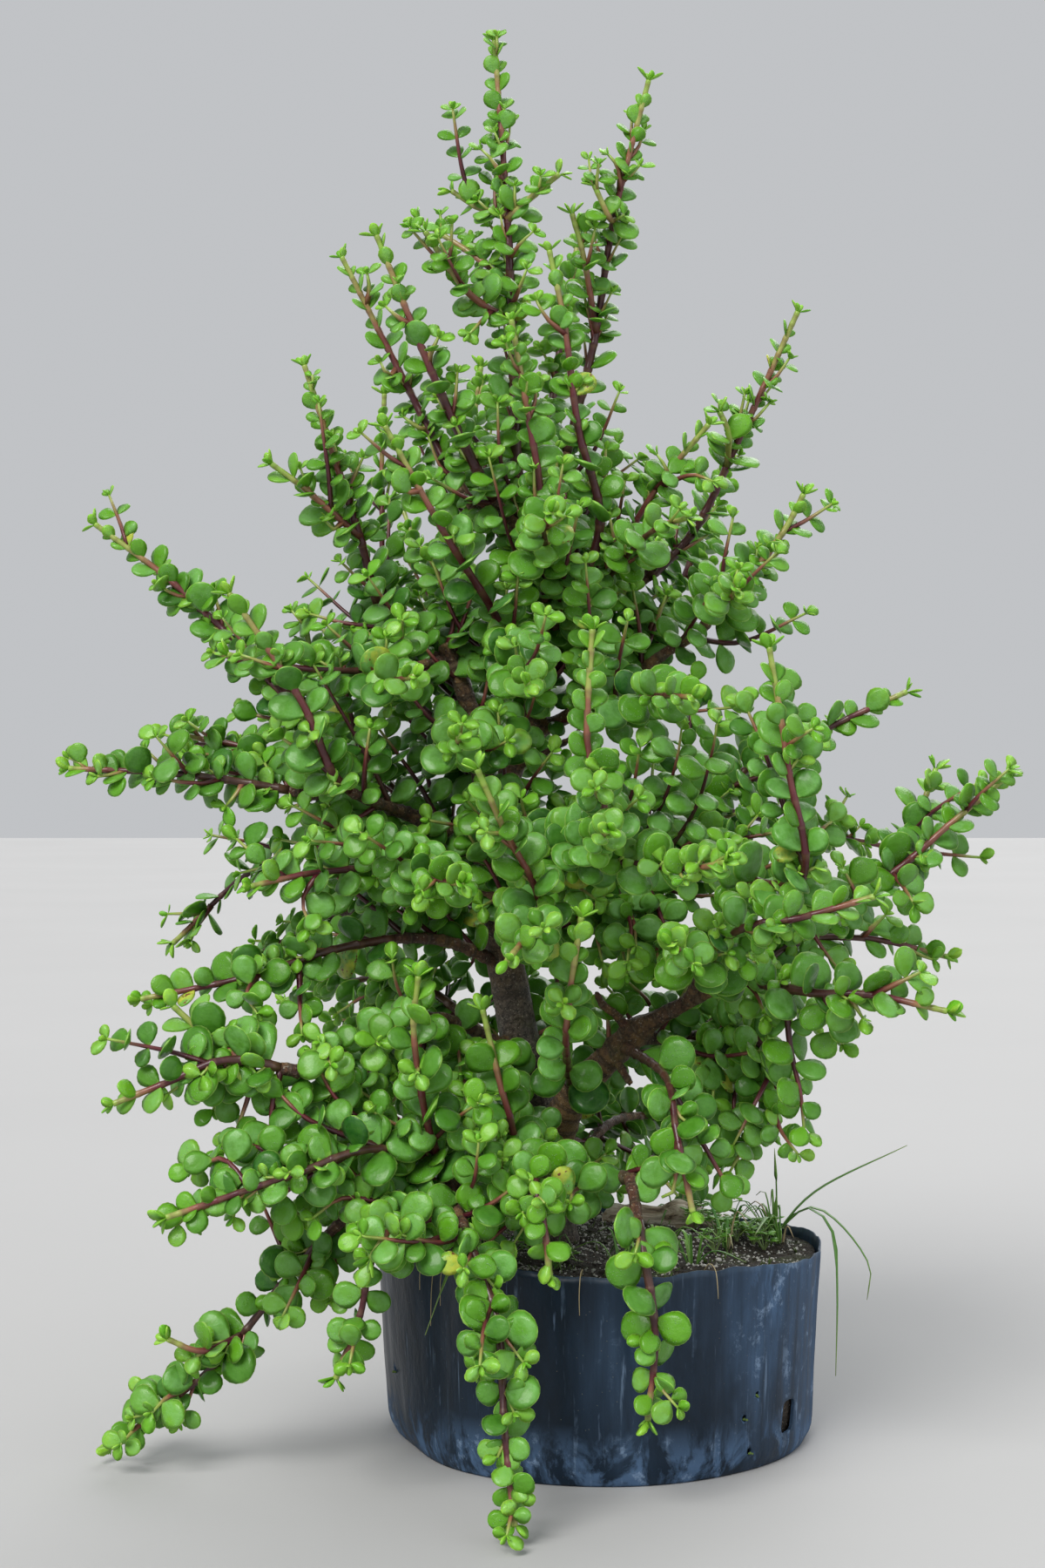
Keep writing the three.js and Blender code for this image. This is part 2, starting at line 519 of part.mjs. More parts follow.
// A leaf is a flattened ball, drawn in towards its root. extra swells it on every side.
function leaf({ root, along, face, long, wide }, extra = 0) {
  const ball = weld(new THREE.SphereGeometry(1, LEAF_SIDES, 2));
  const across = along.clone().cross(face);
  const thick = 0.15 * long;
  return solid(reshape(ball, (corner) => {
    const share = (0.5 + 0.5 * corner.x) ** 0.8;
    const width = corner.z * (wide / 2) * (0.54 + 0.72 * share);
    const spot = root.clone().addScaledVector(along, share * long + corner.x * extra);
    spot.addScaledVector(across, width + corner.z * extra);
    return spot.addScaledVector(face, corner.y * (thick / 2 + extra));
  }));
}

function boxesMeet(one, other) {
  const a = one.boundingBox();
  const b = other.boundingBox();
  return [0, 1, 2].every((axis) => a.min[axis] < b.max[axis] && b.min[axis] < a.max[axis]);
}

function touches(one, other) {
  return boxesMeet(one, other) && !one.intersect(other).isEmpty();
}

// How far from the bush's middle a leaf reaches.
function reachOut({ root, along, long }) {
  return root.clone().addScaledVector(along, long).distanceTo(new THREE.Vector3(...HEART));
}

// A pair every KEPT_GAP carries its outer leaf, and so does the pair at the tip.
function keptLeaves(name) {
  const places = leafPlaces(name);
  const kept = [];
  for (let k = 0; k < places.length; k += 2) {
    const [one, other] = [places[k], places[k + 1]];
    const isLast = k + 2 === places.length;
    if (isLast || kept.length === 0 || one.distance - kept.at(-1).distance >= KEPT_GAP) {
      kept.push(reachOut(one) > reachOut(other) ? one : other);
    }
  }
  return kept;
}

function addLeaves(pieces, group, members) {
  for (const member of members) {
    for (const place of keptLeaves(member)) {
      const swollen = leaf(place, 2 * GAP);
      const others = Object.keys(pieces).filter((name) => name !== group);
      const isLow = swollen.boundingBox().min[2] < 1;
      if (!isLow && !others.some((name) => touches(swollen, pieces[name]))) {
        pieces[group] = pieces[group].add(leaf(place));
      }
    }
  }
}

// ---------------------------------------------------------------- grass and dead wood

function tuft(foot, extra = 0) {
  const height = SOIL_HEIGHT + SOIL_CROWN + 6 - TUFT_FOOT + 2 * extra;
  const root = new THREE.CylinderGeometry(TUFT_RADIUS + extra, TUFT_RADIUS + extra, height, 7);
  root.rotateX(Math.PI / 2);
  root.translate(foot[0], foot[1], TUFT_FOOT - extra + height / 2);
  return solid(weld(root));
}

function grass({ foot, blades }) {
  let body = tuft(foot);
  for (const [points, width] of blades) {
    const start = new THREE.Vector3(foot[0], foot[1], SOIL_HEIGHT + SOIL_CROWN + 3);
    const route = new Route([start, ...vectors(points)]);
    const radiusAt = (distance) => (width / 2) * (1 - 0.7 * (distance / route.length) ** 2);
    const flat = GRASS_THICK / width;
    body = body.add(tube(route, 0, route.length, radiusAt, 4, 2 * points.length, flat));
  }
  return body;
}

function deadWood(extra = 0) {
  const route = new Route(vectors(DEAD_WOOD.points));
  const uneven = (distance) => DEAD_WOOD.radius * (1 + 0.25 * Math.sin(distance / 5)) + extra;
  return tube(route, -extra, route.length + extra, uneven, 8, 6);
}

// ---------------------------------------------------------------- the plant and its bag

const MATERIALS = {
  bag: { color: 0x23262c, roughness: 0.5, metalness: 0 },
  soil: { color: 0x3a2f26, roughness: 0.95, metalness: 0 },
  deadWood: { color: 0x9a8468, roughness: 0.85, metalness: 0 },
  wood: { color: 0x6b4a3c, roughness: 0.7, metalness: 0 },
  grass: { color: 0x9aa84a, roughness: 0.6, metalness: 0 },
  leaf: { color: 0x6c9a3c, roughness: 0.4, metalness: 0 },
};

// A mesh whose origin is a point of its own, such as where the stem leaves the wood.
function piece(name, body, origin, material) {
  const { vertProperties, triVerts } = body.getMesh();
  const geometry = new THREE.BufferGeometry();
  geometry.setAttribute("position", new THREE.BufferAttribute(vertProperties, 3));
  geometry.setIndex(new THREE.BufferAttribute(triVerts, 1));
  geometry.translate(-origin.x, -origin.y, -origin.z);
  const flat = geometry.toNonIndexed();
  flat.computeVertexNormals();
  const mesh = new THREE.Mesh(flat, new THREE.MeshStandardMaterial(material));
  mesh.name = name;
  mesh.position.copy(origin);
  return mesh;
}

const CENTRE = new THREE.Vector3(0, 0, 0);
const tufts = Object.values(GRASS).map(({ foot }) => tuft(foot, GAP));
const trunkHole = stemPiece("trunk", 0, routes.trunk.length / 3, TRUNK_SIDES, 2 * GAP);

const pieces = { bag: bag(), dead_wood: deadWood(), wood: wood() };
pieces.soil = soil([deadWood(GAP), trunkHole, ...tufts]);
for (const [name, plan] of Object.entries(GRASS)) {
  pieces[name] = grass(plan);
}

const groups = leafyStems();
for (const [group, members] of Object.entries(groups)) {
  const stems = members.map((name) => stemPiece(name, leafyStart(name), routes[name].length, STEM_SIDES));
  pieces[group] = stems.reduce((body, stem) => body.add(stem));
}
for (const [group, members] of Object.entries(groups)) {
  addLeaves(pieces, group, members);
}

const container = new THREE.Group();
container.add(piece("bag", pieces.bag, CENTRE, MATERIALS.bag));
container.add(piece("soil", pieces.soil, CENTRE, MATERIALS.soil));
container.add(piece("dead_wood", pieces.dead_wood, vectors(DEAD_WOOD.points)[0], MATERIALS.deadWood));
for (const [name, { foot }] of Object.entries(GRASS)) {
  container.add(piece(name, pieces[name], new THREE.Vector3(...foot, SOIL_HEIGHT), MATERIALS.grass));
}

const bush = new THREE.Group();
bush.add(piece("wood", pieces.wood, routes.trunk.spots[0], MATERIALS.wood));
for (const group of Object.keys(groups)) {
  const start = routes[group].frame(bareLength(group)).at;
  bush.add(piece(group, pieces[group], start, MATERIALS.leaf));
}

const plant = new THREE.Group();
plant.add(container, bush);

export default plant;
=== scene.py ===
"""Looks of the potted elephant bush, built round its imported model.

Lengths are millimetres, as in the part's source, and turn into metres when a mesh is made.
"""

import math
from dataclasses import dataclass

import bmesh
import bpy
import numpy as np
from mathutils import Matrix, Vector, noise


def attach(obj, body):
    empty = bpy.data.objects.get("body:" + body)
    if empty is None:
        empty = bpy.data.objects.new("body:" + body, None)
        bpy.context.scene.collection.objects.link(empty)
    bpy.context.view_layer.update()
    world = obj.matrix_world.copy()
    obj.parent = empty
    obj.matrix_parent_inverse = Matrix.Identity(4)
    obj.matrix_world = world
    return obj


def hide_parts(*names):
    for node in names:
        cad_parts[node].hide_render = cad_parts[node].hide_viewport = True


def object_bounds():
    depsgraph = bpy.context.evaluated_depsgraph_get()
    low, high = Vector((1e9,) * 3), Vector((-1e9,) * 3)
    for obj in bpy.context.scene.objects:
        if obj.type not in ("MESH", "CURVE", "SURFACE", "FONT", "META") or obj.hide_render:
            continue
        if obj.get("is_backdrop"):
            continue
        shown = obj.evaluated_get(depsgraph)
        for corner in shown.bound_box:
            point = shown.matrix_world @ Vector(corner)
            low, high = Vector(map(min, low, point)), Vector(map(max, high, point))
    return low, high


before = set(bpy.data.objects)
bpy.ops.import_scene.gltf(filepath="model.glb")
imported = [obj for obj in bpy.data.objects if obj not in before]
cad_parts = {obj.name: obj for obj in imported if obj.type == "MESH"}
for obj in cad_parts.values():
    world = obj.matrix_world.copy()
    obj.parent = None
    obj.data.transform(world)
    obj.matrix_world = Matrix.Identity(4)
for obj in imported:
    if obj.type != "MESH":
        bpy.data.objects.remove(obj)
CAD_LOW, CAD_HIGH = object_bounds()

# ---------------------------------------------------------------- camera


def placed(name, data):
    """A new object in the scene."""
    thing = bpy.data.objects.new(name, data)
    bpy.context.scene.collection.objects.link(thing)
    return thing


EYE = (-0.035, -1.1, 0.296)
lens = bpy.data.cameras.new("camera")
lens.sensor_fit = "VERTICAL"
lens.sensor_height = 36
lens.lens = 54.76
camera = placed("camera", lens)
camera.location = EYE
camera.rotation_euler.x = math.radians(90)
bpy.context.scene.camera = camera

# ---------------------------------------------------------------- dimensions shared with the solids

BAG_BASE = 95
BAG_HEEL = 97.5
BAG_RIM = 102
BAG_HEIGHT = 87
BAG_WALL = 1.4
BAG_FLOOR = 2
HEEL_HEIGHT = BAG_FLOOR + 4
RIM_TILT = 0.045
RIM_HIGH = math.radians(-120)
RIM_WAVE = 0.012
FOLD_DEPTH = 3.5
FOLD_ANGLE = math.radians(-135)
FOLD_WIDTH = 0.13
TUCK_DEPTH = 5
TUCK_ANGLE = math.radians(-160)
TUCK_WIDTH = 0.3
TUCK_HEIGHT = 14
SLOT_ANGLE = math.radians(-35)
SLOT_HEIGHT = 19
SLOT_WIDE = 5
SLOT_TALL = 15

SOIL_HEIGHT = 80
SOIL_INSET = 1
SOIL_CROWN = 3

STEPS = 12
FIRST_SEED = 1000
TIP_RADIUS = 0.9
WOOD_TAPER = 0.28
LEAF_LENGTH = 15
LEAF_ROOT = 0.42
LEAF_FIRST = 5
KEPT_GAP = 24.6
PAIR_GAP = 12.5
LAST_GAP = 4
TIP_INSET = 1.2
HEART = np.array([-30.0, 0.0, 290.0])

# Every stem: what it springs from, how far along that, the bare share of its length, its radius
# at the start, and the points it runs through. A bare share of 1 is old wood, and 0 is a side
# shoot of the leafy stem it springs from.
STEMS = {
    "trunk": (None, 0, 1, 11, (-19, 8, 63), (-26, 2, 131), (-37, 0, 182), (-46, 0, 232), (-51, 4, 276)),
    "fork_right": ("trunk", 1, 1, 6, (-38, 14, 308), (-24, 16, 353), (-27, 14, 392), (-37, 10, 416)),
    "fork_left": ("trunk", 1, 1, 5.5, (-56, 2, 316), (-63, 0, 342), (-72, 0, 362)),
    "limb_right": ("trunk", 0.26, 1, 8.5, (-13, -20, 153), (4, -34, 174), (19, -42, 189)),
    "limb_left_low": ("trunk", 0.16, 1, 5, (-46, -52, 121), (-68, -78, 126)),
    "limb_front_low": ("trunk", 0.14, 1, 4.5, (-10, -60, 121), (10, -104, 132)),
    "limb_left_mid": ("trunk", 0.93, 1, 4.6, (-79, -16, 279), (-98, -24, 286)),
    "left_under": ("trunk", 0.5, 1, 3.4, (-72, -30, 191), (-103, -70, 187), (-129, -96, 175)),
    "right_limb_up": ("limb_right", 1, 1, 4, (45, -60, 205), (63, -72, 214)),
    "right_limb_flat": ("limb_right", 0.9, 1, 3.4, (43, -30, 183), (59, -24, 187)),
    "limb_right_mid": ("trunk", 0.8, 1, 4.6, (-19, -10, 252), (20, -30, 257), (50, -40, 261)),
    "limb_right_high": ("fork_right", 0.3, 1, 3.8, (6, 18, 339), (27, 14, 354), (46, 8, 366)),
    "crown_leader": ("fork_right", 1, 0.12, 3.2, (-39, 4, 486), (-42, 0, 557), (-48, 0, 639)),
    "crown_right": ("fork_right", 0.86, 0.25, 3, (-14, 30, 453), (-1, 30, 506), (8, 22, 562), (24, 15, 625)),
    "crown_mid_right": ("fork_right", 0.62, 0.25, 2.8,
        (0, -10, 411), (-10, -25, 457), (-16, -30, 501), (-23, -32, 535)),
    "crown_front": ("fork_right", 0.55, 0.2, 2.4, (-26, -25, 418), (-33, -38, 463), (-40, -42, 502)),
    "crown_left": ("fork_right", 0.97, 0.15, 2.9, (-53, -6, 435), (-74, -18, 478), (-101, -22, 544)),
    "crown_left_far": ("fork_right", 0.95, 0.25, 2.8, (-61, 20, 430), (-88, 26, 481), (-120, 22, 544)),
    "crown_shoot_low": ("crown_leader", 0.42, 0, 1.8, (-60, -14, 520), (-79, -26, 545)),
    "crown_shoot_high": ("crown_leader", 0.5, 0, 1.7, (-63, 12, 546), (-84, 20, 561)),
    "crown_twig_right": ("crown_leader", 0.63, 0, 1.5, (-31, -6, 565), (-18, -10, 575)),
    "crown_twig_left": ("crown_leader", 0.64, 0, 1.5, (-55, 6, 563), (-68, 10, 572)),
    "right_twig_low": ("crown_right", 0.5, 0, 1.6, (-6, 14, 540), (-12, 8, 561)),
    "right_twig_mid": ("crown_right", 0.72, 0, 1.4, (5, 6, 559), (-2, 2, 573)),
    "left_upright": ("fork_left", 0.85, 0.3, 2.9,
        (-97, 6, 369), (-110, -8, 411), (-121, -16, 446), (-134, -18, 486)),
    "left_upright_twig": ("left_upright", 0.5, 0, 1.6, (-133, -22, 429), (-148, -28, 440)),
    "left_front_upright": ("fork_right", 0.42, 0.2, 2.6, (-46, -20, 370), (-69, -48, 406), (-95, -62, 452)),
    "left_back_upright": ("fork_left", 0.7, 0.3, 2.2, (-99, 60, 385), (-104, 72, 442), (-103, 74, 488)),
    "left_level": ("fork_left", 0.9, 0.3, 2.2, (-94, -20, 348), (-129, -40, 347), (-165, -50, 353)),
    "left_reach": ("limb_left_mid", 1, 0.3, 2.8, (-133, -26, 292), (-184, -30, 300), (-238, -34, 303)),
    "left_reach_twig": ("left_reach", 0.35, 0, 1.7, (-158, -10, 311), (-189, -4, 318)),
    "left_diagonal": ("limb_left_mid", 0.8, 0.3, 2.6,
        (-114, -60, 296), (-129, -70, 329), (-147, -74, 358), (-161, -76, 378)),
    "left_long": ("limb_left_mid", 0.9, 0.35, 2.9,
        (-123, 0, 309), (-159, 6, 352), (-197, 10, 389), (-234, 10, 417)),
    "left_small_up": ("left_long", 0.42, 0, 1.6, (-132, 14, 337), (-137, 18, 372)),
    "left_mid_low": ("limb_left_mid", 0.55, 0.3, 2.2, (-100, -50, 261), (-129, -66, 257), (-152, -76, 252)),
    "left_droop_far": ("limb_left_mid", 0.5, 0.35, 2.2, (-118, 40, 271), (-166, 60, 254), (-206, 66, 218)),
    "left_lower": ("trunk", 0.7, 0.35, 3,
        (-74, -26, 226), (-112, -40, 224), (-157, -52, 211), (-202, -58, 202)),
    "left_lower_back": ("trunk", 0.78, 0.35, 2.6,
        (-77, 40, 242), (-112, 70, 236), (-153, 92, 218), (-193, 100, 196)),
    "left_under_tip": ("left_under", 1, 0.1, 2.4, (-158, -106, 181), (-183, -112, 172), (-204, -116, 164)),
    "left_under_up": ("left_under_tip", 0.3, 0, 1.8, (-168, -92, 189), (-183, -90, 202)),
    "left_front_low": ("limb_left_low", 0.55, 0.3, 2.6,
        (-93, -100, 143), (-131, -122, 135), (-179, -138, 121)),
    "left_trail": ("limb_left_low", 0.8, 0.35, 2.8,
        (-103, -72, 114), (-137, -70, 82), (-167, -70, 46), (-215, -58, 6)),
    "left_trail_twig": ("left_trail", 0.62, 0, 1.5, (-172, -82, 54), (-186, -86, 60)),
    "left_hang": ("limb_left_low", 0.85, 0.25, 2.1, (-93, -112, 107), (-102, -118, 77), (-112, -118, 51)),
    "left_hang_front": ("left_hang", 0.36, 0, 1.7, (-89, -140, 116), (-96, -146, 106)),
    "front_trail": ("limb_left_low", 1, 0.3, 2.8,
        (-58, -122, 111), (-45, -146, 80), (-42, -162, 42), (-38, -172, 7)),
    "front_hang_mid": ("limb_front_low", 0.55, 0.16, 2, (-29, -122, 135), (-26, -136, 116), (-24, -136, 97)),
    "front_hang_right": ("limb_front_low", 1, 0.2, 2.4, (14, -124, 107), (19, -130, 73), (16, -130, 37)),
    "front_up_left": ("limb_left_low", 0.95, 0.1, 2.1, (-74, -96, 149), (-80, -112, 191), (-78, -118, 217)),
    "front_up_mid": ("limb_left_low", 0.42, 0.2, 2.1, (-39, -74, 146), (-45, -84, 170), (-52, -84, 200)),
    "front_column": ("limb_right", 0.45, 0.2, 2.2, (-17, -110, 188), (-15, -124, 214), (-11, -130, 242)),
    "right_low_front": ("right_limb_up", 0.9, 0.15, 2.6, (85, -104, 209), (109, -116, 209), (139, -124, 203)),
    "right_level": ("right_limb_flat", 0.7, 0.25, 2.4, (85, -4, 220), (122, 0, 225), (162, 4, 216)),
    "right_front_level": ("right_limb_up", 0.4, 0.2, 2.4, (51, -118, 234), (78, -136, 242), (106, -146, 251)),
    "right_hang": ("right_limb_flat", 1, 0.1, 2.2, (69, -50, 182), (76, -58, 166), (74, -60, 144)),
    "right_hang_front": ("limb_right", 0.85, 0.15, 2.4, (24, -112, 175), (27, -140, 156), (33, -148, 125)),
    "right_reach": ("limb_right_mid", 1, 0.25, 2.8,
        (94, -30, 237), (129, -32, 255), (156, -34, 278), (182, -36, 300)),
    "right_reach_fork": ("right_reach", 0.55, 0, 1.8, (145, -10, 280), (155, -4, 303)),
    "right_upper_reach": ("limb_right_mid", 0.8, 0.25, 2.5, (65, 0, 300), (107, 8, 322), (144, 10, 339)),
    "right_upright": ("limb_right_mid", 0.9, 0.25, 2.5, (80, -110, 256), (74, -122, 303), (66, -124, 352)),
    "right_arm": ("limb_right_high", 1, 0.1, 2.4, (69, 0, 391), (85, -4, 412), (94, -6, 429)),
    "right_arm_cluster": ("right_arm", 0.24, 0, 1.6, (57, -34, 378), (59, -60, 381)),
    "right_top": ("fork_right", 0.7, 0.3, 2.9, (7, 40, 383), (44, 42, 413), (69, 34, 462), (95, 26, 519)),
    "right_top_twig": ("right_top", 0.62, 0, 1.3, (62, 20, 460), (57, 14, 470)),
    "right_mid_up": ("fork_right", 0.42, 0.3, 2.4, (2, 24, 391), (27, 12, 433), (51, 0, 462)),
    "right_mid_front": ("right_mid_up", 0.4, 0, 1.7, (21, -40, 407), (37, -62, 412)),
    "centre_upright": ("trunk", 0.98, 0.3, 2.6, (-3, -118, 274), (-9, -142, 313), (-7, -146, 358)),
    "centre_front_left": ("trunk", 0.72, 0.3, 2.5, (-28, -110, 245), (-43, -146, 279), (-53, -158, 302)),
    "centre_front_low": ("centre_front_left", 0.36, 0, 1.7, (-35, -146, 233), (-41, -168, 227)),
    "centre_bright": ("trunk", 0.9, 0.4, 2.2, (-13, -100, 267), (-4, -156, 275), (-2, -184, 278)),
    "centre_right_bright": ("centre_bright", 0.5, 0, 1.8, (28, -138, 262), (45, -160, 265)),
    "centre_right_low": ("right_front_level", 0.26, 0, 1.7, (32, -128, 226), (24, -152, 232)),
    "left_centre_bright": ("left_mid_low", 0.36, 0, 1.7, (-69, -110, 256), (-59, -142, 256)),
    "high_centre_bright": ("left_front_upright", 0.26, 0, 1.7, (-34, -86, 342), (-33, -118, 337)),
    "high_left_bright": ("fork_left", 0.45, 0.3, 1.9, (-63, -66, 310), (-61, -118, 316)),
    "high_right_bright": ("limb_right_high", 0.3, 0.3, 2, (19, -60, 334), (36, -112, 332)),
    "upper_centre_bright": ("crown_front", 0.3, 0, 1.6, (-25, -66, 408), (-23, -88, 411)),
    "upper_left_bright": ("left_level", 0.36, 0, 1.7, (-91, -70, 341), (-80, -104, 341)),
    "back_crown": ("fork_right", 0.75, 0.25, 2.7, (-22, 62, 470), (-6, 92, 575)),
    "back_left_high": ("fork_right", 0.22, 0.3, 2.6, (-64, 70, 350), (-96, 124, 436)),
    "back_crown_left": ("back_left_high", 0.5, 0, 1.9, (-66, 104, 430), (-56, 112, 508)),
    "back_right_high": ("limb_right_high", 0.6, 0.25, 2.6, (42, 72, 392), (70, 118, 462)),
    "back_left_mid": ("trunk", 0.84, 0.3, 2.8, (-104, 62, 300), (-165, 128, 330)),
    "back_mid": ("trunk", 0.93, 0.3, 2.8, (-36, 82, 318), (-24, 178, 356)),
    "back_right_mid": ("limb_right_mid", 0.5, 0.25, 2.7, (52, 66, 292), (104, 146, 330)),
    "back_right_reach": ("back_right_mid", 0.45, 0, 1.9, (112, 86, 272), (160, 98, 262)),
    "back_left_low": ("trunk", 0.46, 0.3, 2.8, (-92, 72, 200), (-160, 152, 182)),
    "back_left_trail": ("back_left_low", 0.5, 0, 1.9, (-118, 146, 150), (-108, 172, 84)),
    "back_low": ("trunk", 0.4, 0.3, 2.7, (-14, 92, 186), (4, 180, 160)),
    "back_right_low": ("limb_right", 0.55, 0.25, 2.7, (60, 58, 190), (122, 132, 176)),
    "back_trail": ("trunk", 0.18, 0.4, 2.5, (10, 62, 132), (48, 130, 112), (64, 164, 34)),
}

# Grass tufts: the foot of each, then the points that each blade runs through and its width.
GRASS = {
    "grass_right": ((84, 28), [
        ([(104, 25, 104), (146, 22, 126)], 3.4),
        ([(85, 29, 104), (84, 26, 124)], 2.6),
        ([(99, 24, 96), (113, 20, 90), (127, 16, 71), (126, 14, 55)], 3),
        ([(97, 19, 97), (109, 12, 88), (111, 8, 62), (110, 4, 22)], 2.2),
        ([(66, 40, 92), (40, 52, 96)], 2.6),
        ([(79, 6, 95), (70, -22, 92)], 2.6),
    ]),
    "grass_left": ((-56, -20), [
        ([(-58, -62, 102), (-66, -92, 90), (-76, -96, 64)], 3),
        ([(-66, -14, 106), (-84, -10, 112)], 2.6),
        ([(-44, -40, 93), (-26, -66, 92)], 2.6),
        ([(-66, 4, 94), (-64, 34, 93)], 2.4),
    ]),
}
STICK = [(4, 56, 84), (30, 58, 86), (62, 50, 85)]
STICK_RADIUS = 6.5

# ---------------------------------------------------------------- draws, routes and meshes

UP = np.array([0.0, 0.0, 1.0])
EAST = np.array([1.0, 0.0, 0.0])
WORD = 0xFFFFFFFF
TURN = 2 * math.pi


def seeded(seed):
    """The same draws as the part's source makes from the same seed."""
    state = seed

    def draw():
        nonlocal state
        state = (state + 0x6D2B79F5) & WORD
        mixed = ((state ^ (state >> 15)) * (1 | state)) & WORD
        mixed = ((mixed + (mixed ^ (mixed >> 7)) * (61 | mixed)) & WORD) ^ mixed
        return ((mixed ^ (mixed >> 14)) & WORD) / (WORD + 1)

    return draw


def shake(draw):
    """A small step in any direction."""
    return np.array([draw() - 0.5, draw() - 0.5, draw() - 0.5])


def bearing(turn, rise=0.0):
    """The way outward at a turn round the upright."""
    return np.array([math.cos(turn), math.sin(turn), rise])


def turns_of(sides):
    """The turns of a ring's corners."""
    return np.arange(sides) * TURN / sides


def unit(vector):
    return vector / np.linalg.norm(vector)


def cross(a, b):
    return np.array([a[1] * b[2] - a[2] * b[1], a[2] * b[0] - a[0] * b[2], a[0] * b[1] - a[1] * b[0]])


def square_to(axis, vector):
    """The way nearest to a vector that stands square to an axis."""
    return unit(vector - axis * vector.dot(axis))


def spline(points, steps):
    """A smooth curve through points, in so many straight pieces to a span."""
    points = np.array(points, float)
    padded = np.vstack([2 * points[0] - points[1], points, 2 * points[-1] - points[-2]])
    t = (np.arange(steps) / steps)[:, None]
    spots = []
    for k in range(len(points) - 1):
        before, start, end, after = padded[k : k + 4]
        leave = 0.5 * (end - before)
        arrive = 0.5 * (after - start)
        square = -3 * start + 3 * end - 2 * leave - arrive
        cube = 2 * start - 2 * end + leave + arrive
        spots.append(start + leave * t + square * t**2 + cube * t**3)
    return np.vstack([*spots, points[-1:]])


class Route:
    """A smooth route through points, with a frame carried along it without twist."""

    def __init__(self, points, steps=STEPS):
        self.spots = spline(points, steps)
        lengths = np.linalg.norm(np.diff(self.spots, axis=0), axis=1)
        self.reach = np.concatenate([[0], np.cumsum(lengths)])
        self.length = float(self.reach[-1])
        last = len(self.spots) - 1
        index = np.arange(last + 1)
        ahead = self.spots[np.minimum(index + 1, last)] - self.spots[np.maximum(index - 1, 0)]
        self.aheads = ahead / np.linalg.norm(ahead, axis=1)[:, None]
        helper = UP if abs(self.aheads[0][2]) < 0.9 else EAST
        sides = [unit(cross(self.aheads[0], helper))]
        for ahead in self.aheads[1:]:
            sides.append(square_to(ahead, sides[-1]))
        self.sides = np.array(sides)

    def frame(self, distance):
        """The place at a distance, and the ways ahead, to the side and across both."""
        k = int(np.searchsorted(self.reach, distance, side="right")) - 1
        k = min(max(k, 0), len(self.spots) - 2)
        share = (distance - self.reach[k]) / (self.reach[k + 1] - self.reach[k])
        at = self.spots[k] + share * (self.spots[k + 1] - self.spots[k])
        ahead = unit(self.aheads[k] + share * (self.aheads[k + 1] - self.aheads[k]))
        side = square_to(ahead, self.sides[k] + share * (self.sides[k + 1] - self.sides[k]))
        return at, ahead, side, cross(side, ahead)

    def at(self, share):
        return self.frame(share * self.length)[0]


def set_paint(mesh, name, values):
    """Gives each corner of a mesh a value that its material reads."""
    layer = mesh.attributes.new(name, "FLOAT", "POINT")
    layer.data.foreach_set("value", np.asarray(values, np.float32))


class Skin:
    """Corners, faces and painted values of a piece, gathered bit by bit."""

    def __init__(self):
        self.corners = []
        self.faces = []
        self.paints = {}
        self.count = 0

    def add(self, corners, faces, **paints):
        self.corners.append(np.asarray(corners, float))
        self.faces += [[self.count + corner for corner in face] for face in faces]
        for name, values in paints.items():
            self.paints.setdefault(name, []).append(np.broadcast_to(values, len(corners)))
        self.count += len(corners)

    def mesh(self, name, smooth=True):
        mesh = bpy.data.meshes.new(name)
        mesh.from_pydata((np.vstack(self.corners) / 1000).tolist(), [], self.faces)
        mesh.polygons.foreach_set("use_smooth", [smooth] * len(mesh.polygons))
        for paint, values in self.paints.items():
            set_paint(mesh, paint, np.concatenate(values))
        mesh.update()
        return mesh

    def make(self, name, material, slot, replaces=(), smooth=True):
        """The piece itself, attached to the root body, with the nodes that it replaces hidden; the slot is
        not used.
        """
        mesh = self.mesh(name, smooth)
        mesh.materials.append(material)
        piece = placed(name, mesh)
        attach(piece, "root")
        if replaces:
            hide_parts(*replaces)
        return piece


def loft_faces(rings, sides):
    """Faces of a tube of rings, with its two ends closed."""
    faces = []
    for low in range(0, (rings - 1) * sides, sides):
        for k in range(sides):
            following = (k + 1) % sides
            faces.append((low + k, low + following, low + sides + following, low + sides + k))
    faces.append(tuple(reversed(range(sides))))
    faces.append(tuple(range((rings - 1) * sides, rings * sides)))
    return faces


def tube(skin, route, distances, radii, sides, **paints):
    """A round tube through a route, with a ring and painted values at each distance."""
    turns = turns_of(sides)[:, None]
    rings = []
    for distance, radius in zip(distances, radii):
        at, _, side, across = route.frame(distance)
        rings.append(at + radius * (np.cos(turns) * side - np.sin(turns) * across))
    spread = {name: np.repeat(values, sides) for name, values in paints.items()}
    skin.add(np.vstack(rings), loft_faces(len(rings), sides), **spread)


def bake(piece):
    """Makes a piece's modifiers part of its mesh."""
    graph = bpy.context.evaluated_depsgraph_get()
    mesh = bpy.data.meshes.new_from_object(piece.evaluated_get(graph))
    piece.modifiers.clear()
    piece.data = mesh


# ---------------------------------------------------------------- stems


